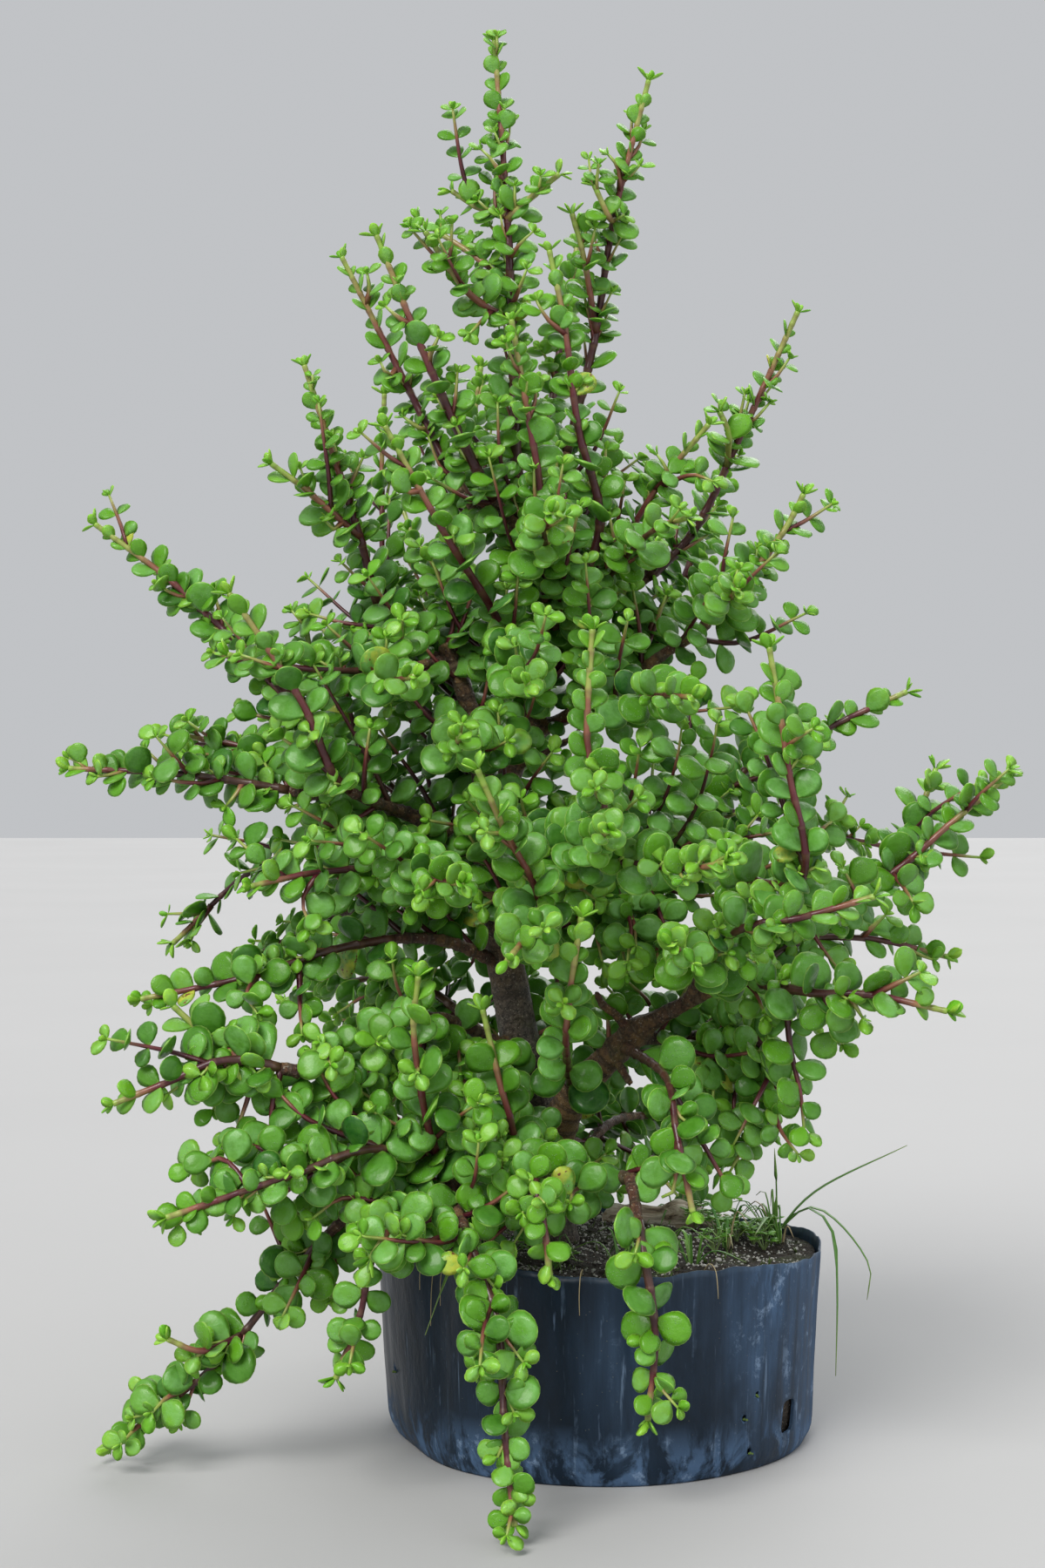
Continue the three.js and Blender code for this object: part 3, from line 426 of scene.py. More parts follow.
class Stem:
    """A stem from its row of STEMS: its route, how far it is bare, and how thick it is."""

    def __init__(self, name, parent, share, bare, radius, points):
        self.name = name
        self.index = list(STEMS).index(name)
        self.is_wood = bare == 1
        self.route = Route([parent.route.at(share), *points] if parent else points)
        self.length = self.route.length
        self.bare = bare * self.length
        self.radius = radius
        self.end_radius = radius * (1 - WOOD_TAPER) if self.is_wood else TIP_RADIUS

    def radius_at(self, distance):
        return self.radius + (self.end_radius - self.radius) * distance / self.length

    def draws(self, kind):
        return seeded(kind * FIRST_SEED + self.index)

    def pair_spots(self):
        """Where its leaf pairs stand: closer towards the tip, and one at the tip itself."""
        spots = []
        distance = self.bare + LEAF_FIRST
        while distance < self.length - LAST_GAP:
            spots.append(distance)
            distance += PAIR_GAP * (1 - 0.5 * (distance / self.length) ** 3)
        return [*spots, self.length - TIP_INSET]


stems = {}
groups = {}  # leafy stems, each with its side shoots, under the node that they replace
for name, (parent, share, bare, radius, *points) in STEMS.items():
    stems[name] = Stem(name, stems.get(parent), share, bare, radius, points)
    if bare < 1:
        groups.setdefault(name if bare else parent, []).append(stems[name])
OLD_WOOD = [stem for stem in stems.values() if stem.is_wood]

# Leafy shoots too slight for the solids: what each springs from, how far along, and its points.
EXTRA = [
    ("limb_right_mid", 0.35, (2, -40, 280), (2, -60, 306)),
    ("limb_right_mid", 0.5, (12, -50, 288), (16, -66, 312)),
    ("limb_right_mid", 0.6, (26, -48, 286), (32, -62, 306), (34, -66, 320)),
    ("limb_right_mid", 0.75, (40, -58, 284), (46, -76, 308), (48, -84, 322)),
    ("limb_right_mid", 0.45, (12, -50, 240), (14, -74, 226)),
    ("limb_right_mid", 0.55, (12, -60, 236), (10, -78, 220)),
    ("centre_upright", 0.15, (-34, -40, 292), (-22, -60, 310)),
    ("left_front_low", 0.3, (-110, -96, 160), (-124, -92, 182)),
    ("left_front_low", 0.45, (-124, -106, 156), (-142, -100, 172)),
    ("left_front_low", 0.55, (-134, -110, 126), (-128, -104, 116)),
    ("left_front_low", 0.68, (-146, -112, 146), (-160, -102, 142)),
    ("left_front_low", 0.8, (-158, -120, 142), (-172, -112, 136)),
    ("left_under_tip", 0.1, (-140, -100, 160), (-140, -106, 140)),
    ("left_under_tip", 0.25, (-150, -96, 166), (-156, -100, 148)),
    ("left_under_tip", 0.4, (-160, -98, 172), (-166, -90, 158)),
    ("left_under", 0.75, (-120, -84, 168), (-128, -86, 146)),
    ("left_lower", 0.7, (-154, -70, 206), (-148, -84, 198)),
    ("left_mid_low", 0.85, (-150, -64, 264), (-160, -58, 272)),
    ("left_reach", 0.62, (-190, -40, 308), (-197, -46, 317)),
    ("left_trail", 0.45, (-142, -60, 98), (-152, -56, 120)),
    ("left_trail", 0.3, (-124, -76, 120), (-140, -80, 132)),
    ("left_trail", 0.78, (-188, -74, 32), (-193, -84, 28)),
    ("left_trail", 0.86, (-199, -54, 24), (-203, -45, 26)),
    ("left_trail", 0.9, (-203, -70, 17), (-207, -79, 13)),
    ("left_trail", 0.38, (-130, -88, 84), (-136, -98, 72)),
    ("left_hang", 0.3, (-108, -108, 124), (-122, -112, 116)),
    ("limb_front_low", 0.9, (18, -108, 136), (30, -104, 124)),
    ("right_limb_flat", 0.9, (60, -40, 172), (58, -52, 152), (62, -56, 132)),
    ("right_limb_flat", 0.6, (50, -44, 176), (48, -60, 158)),
    ("right_limb_flat", 1, (66, -34, 178), (70, -46, 160), (68, -52, 142)),
    ("right_hang", 0.6, (66, -66, 158), (56, -70, 140)),
    ("right_low_front", 0.3, (78, -92, 186), (82, -96, 166), (84, -94, 148)),
    ("right_low_front", 0.5, (94, -100, 196), (100, -92, 186)),
    ("right_upright", 0.5, (66, -104, 310), (58, -100, 330)),
    ("right_upright", 0.75, (78, -104, 326), (72, -92, 340)),
    ("right_upper_reach", 0.35, (88, -20, 306), (94, -38, 318)),
    ("right_reach", 0.42, (112, -50, 246), (104, -64, 260)),
    ("right_reach", 0.3, (96, -44, 226), (104, -56, 214)),
    ("right_reach", 0.58, (134, -44, 250), (137, -54, 243)),
    ("right_mid_up", 0.75, (42, -4, 438), (52, -12, 434)),
    ("limb_right_mid", 0.45, (6, -46, 238), (10, -66, 214)),
    ("limb_right_mid", 0.62, (22, -54, 234), (24, -72, 214)),
    ("limb_right_mid", 0.4, (-4, -40, 236), (0, -58, 218)),
    ("limb_right_mid", 0.7, (28, -56, 232), (31, -76, 216)),
    ("right_hang", 0.8, (64, -62, 142), (55, -66, 128)),
    ("right_hang_front", 0.6, (44, -130, 140), (52, -122, 126)),
    ("right_upright", 0.4, (88, -100, 274), (98, -92, 282)),
    ("right_low_front", 0.7, (118, -122, 214), (128, -124, 219)),
    ("left_mid_low", 0.7, (-130, -70, 246), (-126, -74, 234)),
    ("left_lower", 0.6, (-132, -60, 200), (-130, -72, 188)),
    ("crown_shoot_low", 0.2, (-54, -16, 506), (-59, -24, 499)),
    ("back_right_low", 0.3, (24, 16, 194), (14, 8, 204)),
    ("back_right_low", 0.2, (14, 10, 190), (4, 4, 202)),
    ("crown_mid_right", 0.8, (-24, -34, 504), (-29, -36, 512)),
    ("left_upright", 0.6, (-112, -12, 436), (-108, -10, 445)),
    ("crown_leader", 0.7, (-48, -2, 582), (-54, -3, 588)),
    ("crown_leader", 0.55, (-36, -6, 544), (-30, -8, 549)),
    ("crown_leader", 0.45, (-36, -8, 524), (-33, -12, 531)),
    ("crown_leader", 0.58, (-46, 2, 550), (-50, 2, 554)),
    ("right_level", 0.7, (126, -2, 230), (132, -4, 236)),
    ("crown_left_far", 0.85, (-107, 22, 528), (-108, 20, 536)),
    ("crown_left_far", 0.45, (-84, 24, 464), (-91, 24, 469)),
    ("crown_left_far", 0.65, (-98, 24, 488), (-102, 24, 495)),
    ("crown_left", 0.6, (-77, -20, 490), (-73, -22, 498)),
    ("crown_left", 0.72, (-90, -22, 506), (-97, -22, 512)),
    ("right_hang_front", 0.8, (26, -144, 134), (21, -142, 130)),
    ("crown_right", 0.8, (16, 18, 582), (20, 18, 586)),
    ("crown_right", 0.78, (10, 16, 584), (5, 14, 590)),
    ("left_upright_twig", 0.2, (-121, -14, 412), (-125, -16, 416)),
    ("right_low_front", 0.6, (103, -112, 204), (106, -112, 199)),
    ("back_right_reach", 0.6, (120, 84, 280), (126, 82, 290)),
    ("left_front_low", 0.82, (-152, -128, 126), (-153, -126, 119)),
    ("left_front_low", 0.9, (-170, -132, 122), (-175, -130, 117)),
    ("back_crown", 0.6, (-22, 68, 502), (-26, 64, 508)),
    ("left_front_upright", 0.8, (-87, -56, 424), (-90, -56, 430)),
    ("left_droop_far", 0.85, (-194, 62, 226), (-196, 58, 220)),
    ("left_reach", 0.45, (-163, -30, 292), (-168, -32, 286)),
    ("right_mid_up", 0.75, (32, 2, 440), (27, 0, 448)),
]

# What leaves keep out of: the old wood's middles and radii, the edges of the solids' box, and the
# bag with its rim.
WOOD_SPOTS = np.vstack([stem.route.spots for stem in OLD_WOOD])
WOOD_RADII = np.concatenate([stem.radius_at(stem.route.reach) for stem in OLD_WOOD])
BOX_MARGIN = 0.4
ROOM_LOW = np.array(CAD_LOW) * 1000 + (BOX_MARGIN, BOX_MARGIN, 1)
ROOM_HIGH = np.array(CAD_HIGH) * 1000 - (BOX_MARGIN, BOX_MARGIN, 0.3)
RIM_INSIDE = 97
RIM_OUTSIDE = 106
RIM_TOP = 94


def is_clear(points):
    """Inside the solids' box, off the table, and out of the bag, the soil and the old wood."""
    if (points < ROOM_LOW).any() or (points > ROOM_HIGH).any():
        return False
    out = np.hypot(points[:, 0], points[:, 1])
    top = np.where(out > RIM_INSIDE, RIM_TOP, BAG_HEIGHT)
    if ((out < RIM_OUTSIDE) & (points[:, 2] < top)).any():
        return False
    middle = points.mean(axis=0)
    return bool((np.linalg.norm(WOOD_SPOTS - middle, axis=1) > WOOD_RADII + 1).all())


# Places where old wood, the stick or soil shows between the leaves, and how wide each opening is.
WINDOWS = [
    ((-41, -4, 186), 13),
    ((-46, -4, 216), 9),
    ((-12, -16, 150), 12),
    ((6, -36, 172), 20),
    ((24, -50, 189), 14),
    ((40, -58, 203), 8),
    ((28, 14, 354), 9),
    ((-92, -22, 284), 8),
    ((34, 56, 90), 12),
    ((60, 10, 87), 13),
    ((-2, 10, 87), 9),
]


def hides_wood(leaf):
    """Whether a leaf lies between the eye and a stretch of wood that shows."""
    eye = np.array(EYE) * 1000
    middle = leaf.root + 0.5 * leaf.long * leaf.along
    for spot, wide in WINDOWS:
        sight = unit(np.array(spot) - eye)
        aside = middle - eye - (middle - eye).dot(sight) * sight
        if middle[1] < spot[1] and np.linalg.norm(aside) < wide:
            return True
    return False


TIP_FLOOR = 2.2


@dataclass
class Leaf:
    """Where a leaf stands, the ways it runs and faces, its size and age, and two draws for its looks."""

    root: np.ndarray
    along: np.ndarray
    face: np.ndarray
    long: float
    wide: float
    youth: float
    hue: float
    form: float

    def __post_init__(self):
        """Lays a leaf that would reach into the table down on it."""
        lowest = (TIP_FLOOR - self.root[2]) / self.long
        if self.root[2] > 1.5 and self.along[2] < lowest:
            flat = unit(self.along * (1, 1, 0) + np.array([0, -0.01, 0]))
            self.along = flat * math.sqrt(1 - lowest**2) + UP * lowest
            self.face = square_to(self.along, UP * 1.5 + self.face)

    def tip(self):
        return self.root + self.long * self.along

    def is_clear(self):
        aside = 0.5 * self.wide * cross(self.along, self.face)
        middle = self.root + 0.6 * self.long * self.along
        return is_clear(np.array([self.tip(), middle + aside, middle - aside]))


def light_at(spot):
    """The way the light comes from at a spot: from the front, and behind the heart from outside."""
    out = (spot - HEART) * (1, 1, 0)
    out = out / max(np.linalg.norm(out), 60)
    front = min(max((110 - spot[1]) / 90, 0), 1)
    return unit(out * (1 - 0.65 * front) + np.array([0, -0.75 * front, 0.4]))


CROWN_START = 360
CROWN_FADE = 120
CROWN_SHRINK = 0.22


def leaf_scale(spot):
    """Leaves of the crown are smaller."""
    return 1 - CROWN_SHRINK * min(max((spot[2] - CROWN_START) / CROWN_FADE, 0), 1)


def opened(here, around, lean):
    """The ways along and facing of what leaves a route's frame, at a turn round it and a lean from it."""
    _, ahead, side, across = here
    out = side * math.cos(around) + across * math.sin(around)
    return ahead * math.cos(lean) + out * math.sin(lean), ahead * math.sin(lean) - out * math.cos(lean)


def turned(root, along, face, swing, twist):
    """A leaf's two ways once it has swung open and twisted to look at the light."""
    light = light_at(root)
    along = unit(along - swing * max(along.dot(light) + 0.1, 0) * light)
    wanted = light - along * light.dot(along)
    share = twist * min(1, 1.6 * np.linalg.norm(wanted))
    face = square_to(along, face)
    if face.dot(wanted) < -0.2:
        face = -face
    face = (1 - share) * face + share * wanted / max(np.linalg.norm(wanted), 0.05)
    return along, square_to(along, face)


def stem_leaves(stem):
    """The pairs of a stem, by the part's own rule and draws, less what hides the old wood.

    The solids carry the outer leaf of a pair every KEPT_GAP, and that one always stays.
    """
    draw = stem.draws(1)
    looks = stem.draws(3)
    leaves = []
    last_kept = -KEPT_GAP
    for pair, distance in enumerate(stem.pair_spots()):
        age = distance / stem.length
        from_tip = stem.length - distance
        open_up = 1 - math.exp(-(from_tip + 2) / 12)
        radius = stem.radius_at(distance)
        here = stem.route.frame(distance)
        both = []
        for half in (0, 1):
            around = math.pi * (0.25 + 0.5 * pair + half) + 0.4 * (draw() - 0.5)
            lean = 1.1 - 0.6 * age**4 + 0.35 * (draw() - 0.5)
            size = LEAF_LENGTH * (0.8 + 0.5 * draw()) * (1 - 0.5 * age**2.5)
            shape = 0.84 + 0.16 * draw()
            tilt = shake(draw)
            along, face = opened(here, around, lean)
            along = unit(along + 0.22 * UP)
            root = here[0] + along * LEAF_ROOT * radius
            along, face = turned(root, along, face + 0.45 * UP + 0.8 * tilt, 0.35 * open_up, 0.8 * open_up)
            long = size * leaf_scale(here[0]) * (0.78 + 0.22 * open_up) + (1 - LEAF_ROOT) * radius
            wide = long * (0.7 + 0.3 * open_up) * shape
            both.append(Leaf(root, along, face, long, wide, math.exp(-from_tip / 16), looks(), looks()))
        both.sort(key=lambda leaf: -np.linalg.norm(leaf.tip() - HEART))
        is_kept = distance - last_kept >= KEPT_GAP
        if is_kept:
            last_kept = distance
            leaves.append(both.pop(0))
        is_crowded = 1.5 < from_tip < 8.5  # too near the pair at the tip
        if not is_crowded:
            leaves += [leaf for leaf in both if not hides_wood(leaf)]
    return leaves


def tip_leaves(route, size, draw, turn, spread=0.45):
    """The young pair at the end of a shoot; without a turn it opens to left and right."""
    here = route.frame(route.length - 0.4)
    at, _, side, across = here
    if turn is None:
        turn = math.atan2(across.dot(EAST), side.dot(EAST))
    leaves = []
    for half in (0, 1):
        along, face = opened(here, turn + math.pi * half, spread + 0.35 * draw())
        long = size * (0.85 + 0.3 * draw())
        leaves.append(Leaf(at, along, square_to(along, face), long, long * 0.62, 1.0, draw(), draw()))
    return leaves


SHOOT_CHANCE = 0.56
SHOOT_LEAF = 13.2
SHOOT_KINDS = [(0.5, 4, 5), (0.82, 9, 11), (1, 18, 24)]  # up to which draw, least length, span of lengths
WOOD_GAP = 8.5
TRUNK_CLEAR = 95
LIMB_CLEAR = 10


def side_shoots(stem):
    """Short shoots from the axils of a stem's leaves: each a route, its radius and its leaves."""
    draw = stem.draws(5)
    shoots = []
    for pair, distance in enumerate(stem.pair_spots()[:-1]):
        age = distance / stem.length
        here = stem.route.frame(distance + 0.8)
        at = here[0]
        outward = unit(at - HEART)
        for half in (0, 1):
            around = math.pi * (0.25 + 0.5 * pair + half) + 0.3 * (draw() - 0.5)
            chance, kind, stretch = draw(), draw(), draw()
            lean = 0.75 + 0.35 * draw()
            sway = shake(draw)
            if chance > SHOOT_CHANCE * (1 - 0.9 * age**2.5) * (2 - leaf_scale(at)):
                continue
            least, span = next(row[1:] for row in SHOOT_KINDS if kind < row[0])
            length = (least + span * stretch) * (1 - 0.55 * age**2)
            heading = length * unit(opened(here, around, lean)[0] + 0.6 * outward + 0.15 * UP)
            bow = length * 0.25 * (sway + 0.4 * UP + 0.7 * outward)
            route = Route([at, at + 0.5 * heading, at + heading + bow], 5)
            if is_clear(route.spots[[5, 10]]):
                leaves = shoot_leaves(route, draw, age)
                if len(leaves) > 3:
                    shoots.append((route, min(1.3, 0.8 + length / 50), leaves))
    return shoots


def wood_shoots(stem):
    """Longer leafy shoots from the bare part of a stem, which fill the inside of the bush."""
    draw = stem.draws(9)
    shoots = []
    distance = (TRUNK_CLEAR if stem.name == "trunk" else LIMB_CLEAR) + WOOD_GAP * draw()
    while distance < stem.bare:
        here = stem.route.frame(distance)
        at = here[0]
        from_heart = at - HEART
        around = TURN * draw()
        lean = 0.9 + 0.4 * draw()
        length = (24 + 34 * draw()) * (0.5 if abs(from_heart[0]) > 75 else 1)
        sway = shake(draw)
        is_deep = np.linalg.norm(from_heart) < 30
        outward = opened(here, around, math.pi / 2)[0] if is_deep else unit(from_heart)
        heading = length * unit(opened(here, around, lean)[0] + 0.3 * outward + 0.25 * UP)
        bow = length * 0.35 * (sway + 0.4 * UP + 0.3 * outward)
        route = Route([at, at + 0.5 * heading, at + heading + bow], 6)
        distance += WOOD_GAP * (0.6 + 0.8 * draw())
        if is_clear(route.spots[[8, 12]]):
            leaves = shoot_leaves(route, draw, 0)
            if len(leaves) > 4:
                shoots.append((route, 1.5, leaves))
    return shoots


def extra_shoots(stem):
    """The listed slight shoots of a stem."""
    shoots = []
    for index, (parent, share, *points) in enumerate(EXTRA):
        if parent == stem.name:
            route = Route([stem.route.at(share), *points], 6)
            leaves = shoot_leaves(route, seeded(11 * FIRST_SEED + index), 0, whole=False)
            shoots.append((route, 1.7, leaves))
    return shoots


def shoot_leaves(route, draw, parent_age, whole=True):
    """The leaves of a shoot, or none where one of them hides old wood and the shoot is to be whole."""
    spots = []
    distance = min(0.45 * route.length, 3 + 3 * draw())
    while distance < route.length - 3:
        spots.append(distance)
        distance += 7.5 + 3.5 * draw()
    spots.append(route.length - 0.6)
    turn = math.pi * draw()
    leaves = []
    for pair, distance in enumerate(spots):
        is_last = pair == len(spots) - 1
        here = route.frame(distance)
        at = here[0]
        left = route.length - distance
        age = 1 - left / max(route.length, 16)
        for half in (0, 1):
            around = turn + math.pi * (0.5 * pair + half) + 0.4 * (draw() - 0.5)
            lean = 1.25 - 0.3 * age**2 + 0.3 * (draw() - 0.5)
            size = SHOOT_LEAF * (0.75 + 0.45 * draw()) * (1 - 0.25 * parent_age)
            size *= leaf_scale(at) * (0.66 if is_last else 1 - 0.2 * age**2)
            shape = (0.84 + 0.16 * draw()) * (0.84 if is_last else 1)
            tilt = shake(draw)
            along, face = opened(here, around, lean)
            along = unit(along + 0.12 * UP)
            along, face = turned(at, along, face + 0.3 * UP + 0.7 * tilt, 0.6, 0.8)
            youth = 0.06 + 0.72 * math.exp(-left / 5)
            leaves.append(Leaf(at + along * 0.4, along, face, size, size * shape, youth, draw(), draw()))
    if route.length > 9:
        leaves += tip_leaves(route, 4.4, draw, turn + 0.5 * math.pi * len(spots))
    shown = [leaf for leaf in leaves if not hides_wood(leaf)]
    if whole and len(shown) < len(leaves):
        return []
    return [leaf for leaf in shown if leaf.is_clear()]


# ---------------------------------------------------------------- leaf forms


def leaf_outline(share):
    """Half width of a leaf at a share of its length: a short wedge, then nearly round."""
    inside = np.clip(share, 0.001, 0.999)
    return np.sin(math.pi * inside**1.28) ** (0.64 - 0.16 * inside)


def leaf_form(stations, section):
    """A fleshy leaf as rings from root to tip: shares along, across and through it."""
    sides = len(section)
    steps = (np.arange(stations) + 0.7) / (stations + 0.4)
    corners = [(0.0, 0.0, 0.0)]
    for share in 0.5 - 0.5 * np.cos(math.pi * steps):
        half = leaf_outline(share)
        thick = (0.45 + 0.55 * min(1, share / 0.45)) * half**0.55
        corners += [(share, half * aside, thick * lift) for aside, lift in section]
    corners.append((1.0, 0.0, 0.0))
    last = len(corners) - 1
    faces = []
    for k in range(sides):
        following = (k + 1) % sides
        faces.append((0, 1 + k, 1 + following))
        faces.append((last - sides + k, last, last - sides + following))
        for low in range(1, last - sides, sides):
            faces.append((low + k, low + sides + k, low + sides + following, low + following))
    return np.array(corners), faces


FULL = [(1, 0), (0.55, 0.9), (-0.55, 0.9), (-1, 0), (0, -1)]
LENS = [(1, 0), (0, 0.95), (-1, 0), (0, -0.95)]
FORMS = [(13, leaf_form(9, FULL)), (9, leaf_form(8, FULL)), (0, leaf_form(6, LENS))]  # by length


def add_leaf(skin, leaf):
    """Adds a leaf: cupped, arched and a little skewed, with what its material reads."""
    form, faces = next(form for least, form in FORMS if leaf.long > least)
    share, width, through = form.T
    across = cross(leaf.along, leaf.face)
    thick = leaf.long * (0.16 + 0.03 * leaf.youth)
    cup = (0.04 + 0.1 * leaf.youth) * leaf.wide
    arch = (leaf.form - 0.4) * 0.16 * leaf.long
    skew = (leaf.hue - 0.5) * 0.1 * leaf.wide
    lift = through * thick / 2 + cup * width**2 - arch * share**2
    aside = width * leaf.wide / 2 + skew * share**2
    ways = np.outer(share * leaf.long, leaf.along) + np.outer(aside, across) + np.outer(lift, leaf.face)
    edge = np.clip(np.abs(width) / leaf_outline(share), 0, 1) ** 2
    skin.add(
        leaf.root + ways,
        faces,
        edge=np.maximum(edge, np.clip((share - 0.86) / 0.14, 0, 1)),
        share=share,
        youth=leaf.youth,
        hue=min(leaf.hue + 2.6 * (1 - leaf_scale(leaf.root)), 1.0),
        odd=(leaf.form * 7.3 + leaf.hue * 3.1) % 1,
        under=(through < -0.01).astype(float),
    )


# ---------------------------------------------------------------- materials


class Wire:
    """A value that runs between shader nodes, with short ways to work on it."""

    def __init__(self, paint, socket):
        self.paint = paint
        self.socket = socket

    def math(self, kind, other=0.0):
        return self.paint.node("Math", {0: self, 1: other}, operation=kind)

    def __mul__(self, other):
        return self.math("MULTIPLY", other)

    def __add__(self, other):
        return self.math("ADD", other)

    def span(self, low, high, to_low=0.0, to_high=1.0):
        """The value carried from one range over to another, and held inside it."""
        inputs = {"Value": self, "From Min": low, "From Max": high, "To Min": to_low, "To Max": to_high}
        return self.paint.node("MapRange", inputs, clamp=True)

    def mix(self, low, high):
        """One colour where the value is 0, and another where it is 1."""
        return self.paint.node("Mix", {0: self, 6: low, 7: high}, out=2, data_type="RGBA")

    def ramp(self, *stops):
        """A colour for each stop, as a share of the value."""
        colours = self.paint.node("ValToRGB", {"Fac": self})
        elements = colours.socket.node.color_ramp.elements
        while len(elements) < len(stops):
            elements.new(0.5)
        for element, (at, colour) in zip(elements, stops):
            element.position = at
            element.color = (*colour, 1)
        return colours


class Paint:
    """A material in the making: coats of colour, laid one over another, and bumps."""

    def __init__(self, name):
        self.material = bpy.data.materials.new(name)
        self.material.use_nodes = True
        self.tree = self.material.node_tree
        self.colour = None
        self.normal = None

    def put(self, socket, value):
        if isinstance(value, Wire):
            self.tree.links.new(value.socket, socket)
        else:
            socket.default_value = (*value, 1) if socket.type == "RGBA" else value

    def node(self, kind, inputs=None, out=0, **settings):
        node = self.tree.nodes.new("ShaderNode" + kind)
        for key, value in settings.items():
            setattr(node, key, value)
        for key, value in (inputs or {}).items():
            self.put(node.inputs[key], value)
        return Wire(self, node.outputs[out])

    def values(self, *names):
        """Values that the mesh carries."""
        return [self.node("Attribute", out="Fac", attribute_name=name) for name in names]

    def place(self, scale):
        """Object coordinates, scaled along each axis."""
        return self.node("Mapping", {"Vector": self.node("TexCoord", out="Object"), "Scale": scale})

    def noise(self, scale, detail=4.0, rough=0.5, stretch=(1, 1, 1), warp=0.0):
        inputs = {"Scale": scale, "Detail": detail, "Roughness": rough, "Distortion": warp}
        return self.node("TexNoise", {**inputs, "Vector": self.place(stretch)})

    def cells(self, scale):
        return self.node("TexVoronoi", {"Scale": scale, "Vector": self.place((1, 1, 1))})

    def coat(self, factor, colour):
        """Lays a colour over what is there, as thick as the factor says."""
        self.colour = factor.mix(self.colour, colour)

    def bump(self, height, distance, strength):
        inputs = {"Height": height, "Distance": distance, "Strength": strength}
        if self.normal:
            inputs["Normal"] = self.normal
        self.normal = self.node("Bump", inputs)

    def finish(self, rough, **fixed):
        shader = self.tree.nodes["Principled BSDF"]
        self.put(shader.inputs["Base Color"], self.colour)
        self.put(shader.inputs["Roughness"], rough)
        self.put(shader.inputs["Normal"], self.normal)
        for key, value in fixed.items():
            shader.inputs[key.replace("_", " ")].default_value = value
        return self.material


def leaf_paint():
    """Deep green, fresh on young leaves, with a pale bloom, a painted sheen in the middle of the upper side,
    a pale rim that is partly a painted highlight, rare gold, and beads of water with painted glints.
    """
    paint = Paint("leaf")
    edge, share, youth, hue, odd, under = paint.values("edge", "share", "youth", "hue", "odd", "under")
    upper = paint.node("Math", {0: 1.0, 1: under}, operation="SUBTRACT")
    deep = hue.mix((0.006, 0.074, 0.006), (0.078, 0.25, 0.004))
    bloom = odd.span(0.2, 0.75) * paint.noise(90, 3).span(0.35, 0.65, 0.25, 0.9)
    deep = bloom.mix(deep, (0.09, 0.29, 0.025))
    fresh = odd.mix((0.13, 0.40, 0.012), (0.32, 0.60, 0.04))
    paint.colour = youth.math("POWER", 0.9).mix(deep, fresh)
    paint.coat(paint.noise(260, 3, 0.6).span(0.35, 0.7) * 0.25, (0.12, 0.33, 0.03))
    paint.coat(under * 0.3, (0.12, 0.29, 0.035))
    # Pale whitish green in the middle of each leaf's upper side: partly a waxy bloom, partly a painted sheen.
    wax_and_sheen = edge.span(0.9, 0.35) * paint.noise(170, 4, 0.6).span(0.38, 0.6, 0.15, 0.85)
    paint.coat(wax_and_sheen * odd.span(0.3, 0.7, 0.08, 0.7) * upper, (0.17, 0.40, 0.11))
    paint.coat(share.span(0.16, 0.0, 0.0, 0.6), (0.26, 0.42, 0.06))
    # Pale rim round each leaf: partly the leaf's pale margin, partly a painted highlight along the edge.
    paint.coat(edge.span(0.86, 0.98, 0.0, 0.6), (0.34, 0.58, 0.11))
    gold = odd.span(0.985, 0.99) * youth.span(0.5, 0.3)
    paint.coat(gold * paint.noise(120, 4, 0.6).span(0.42, 0.6), (0.40, 0.46, 0.05))
    paint.coat(gold * paint.noise(420, 2).span(0.62, 0.68), (0.16, 0.06, 0.02))
    wet = paint.noise(150, 1).span(0.42, 0.55) * upper * hue.span(0.5, 0.56)
    beads_and_glints = paint.cells(900).span(0.26, 0.12) * wet
    # Painted glints: the water beads are coloured pale, as if each caught the light.
    paint.coat(beads_and_glints * 0.3, (0.42, 0.62, 0.40))
    paint.bump(paint.noise(210, 4, 0.55), 0.0012, 0.6)
    paint.bump(paint.noise(1500, 2), 0.0001, 0.25)
    paint.bump(beads_and_glints, 0.0004, 0.7)
    return paint.finish(
        paint.noise(160, 3).span(0.3, 0.7, 0.32, 0.5),
        Subsurface_Weight=0.12,
        Subsurface_Radius=(0.6, 1.0, 0.2),
        Subsurface_Scale=0.002,
        Coat_Weight=0.22,
        Coat_Roughness=0.15,
        Specular_IOR_Level=0.22,
    )


def stem_paint():
    """Green at the tip, red along the shoot, and brown where it is old."""
    paint = Paint("stem")
    age, ring = paint.values("age", "ring")
    paint.colour = (age + paint.noise(90, 3).span(0.3, 0.7, -0.06, 0.06)).ramp(
        (0.0, (0.24, 0.40, 0.05)),
        (0.09, (0.30, 0.33, 0.08)),
        (0.18, (0.26, 0.11, 0.06)),
        (0.30, (0.13, 0.025, 0.028)),
        (0.46, (0.06, 0.006, 0.013)),
        (0.76, (0.045, 0.007, 0.010)),
        (1.0, (0.055, 0.022, 0.014)),
    )
    streak = paint.noise(220, 4, 0.6)
    paint.coat(streak.span(0.5, 0.75, 0, 0.3), (0.17, 0.06, 0.04))
    paint.coat(ring * 0.5, (0.16, 0.09, 0.05))
    paint.bump(streak, 0.0004, 0.4)
    return paint.finish(streak.span(0.3, 0.7, 0.25, 0.42))


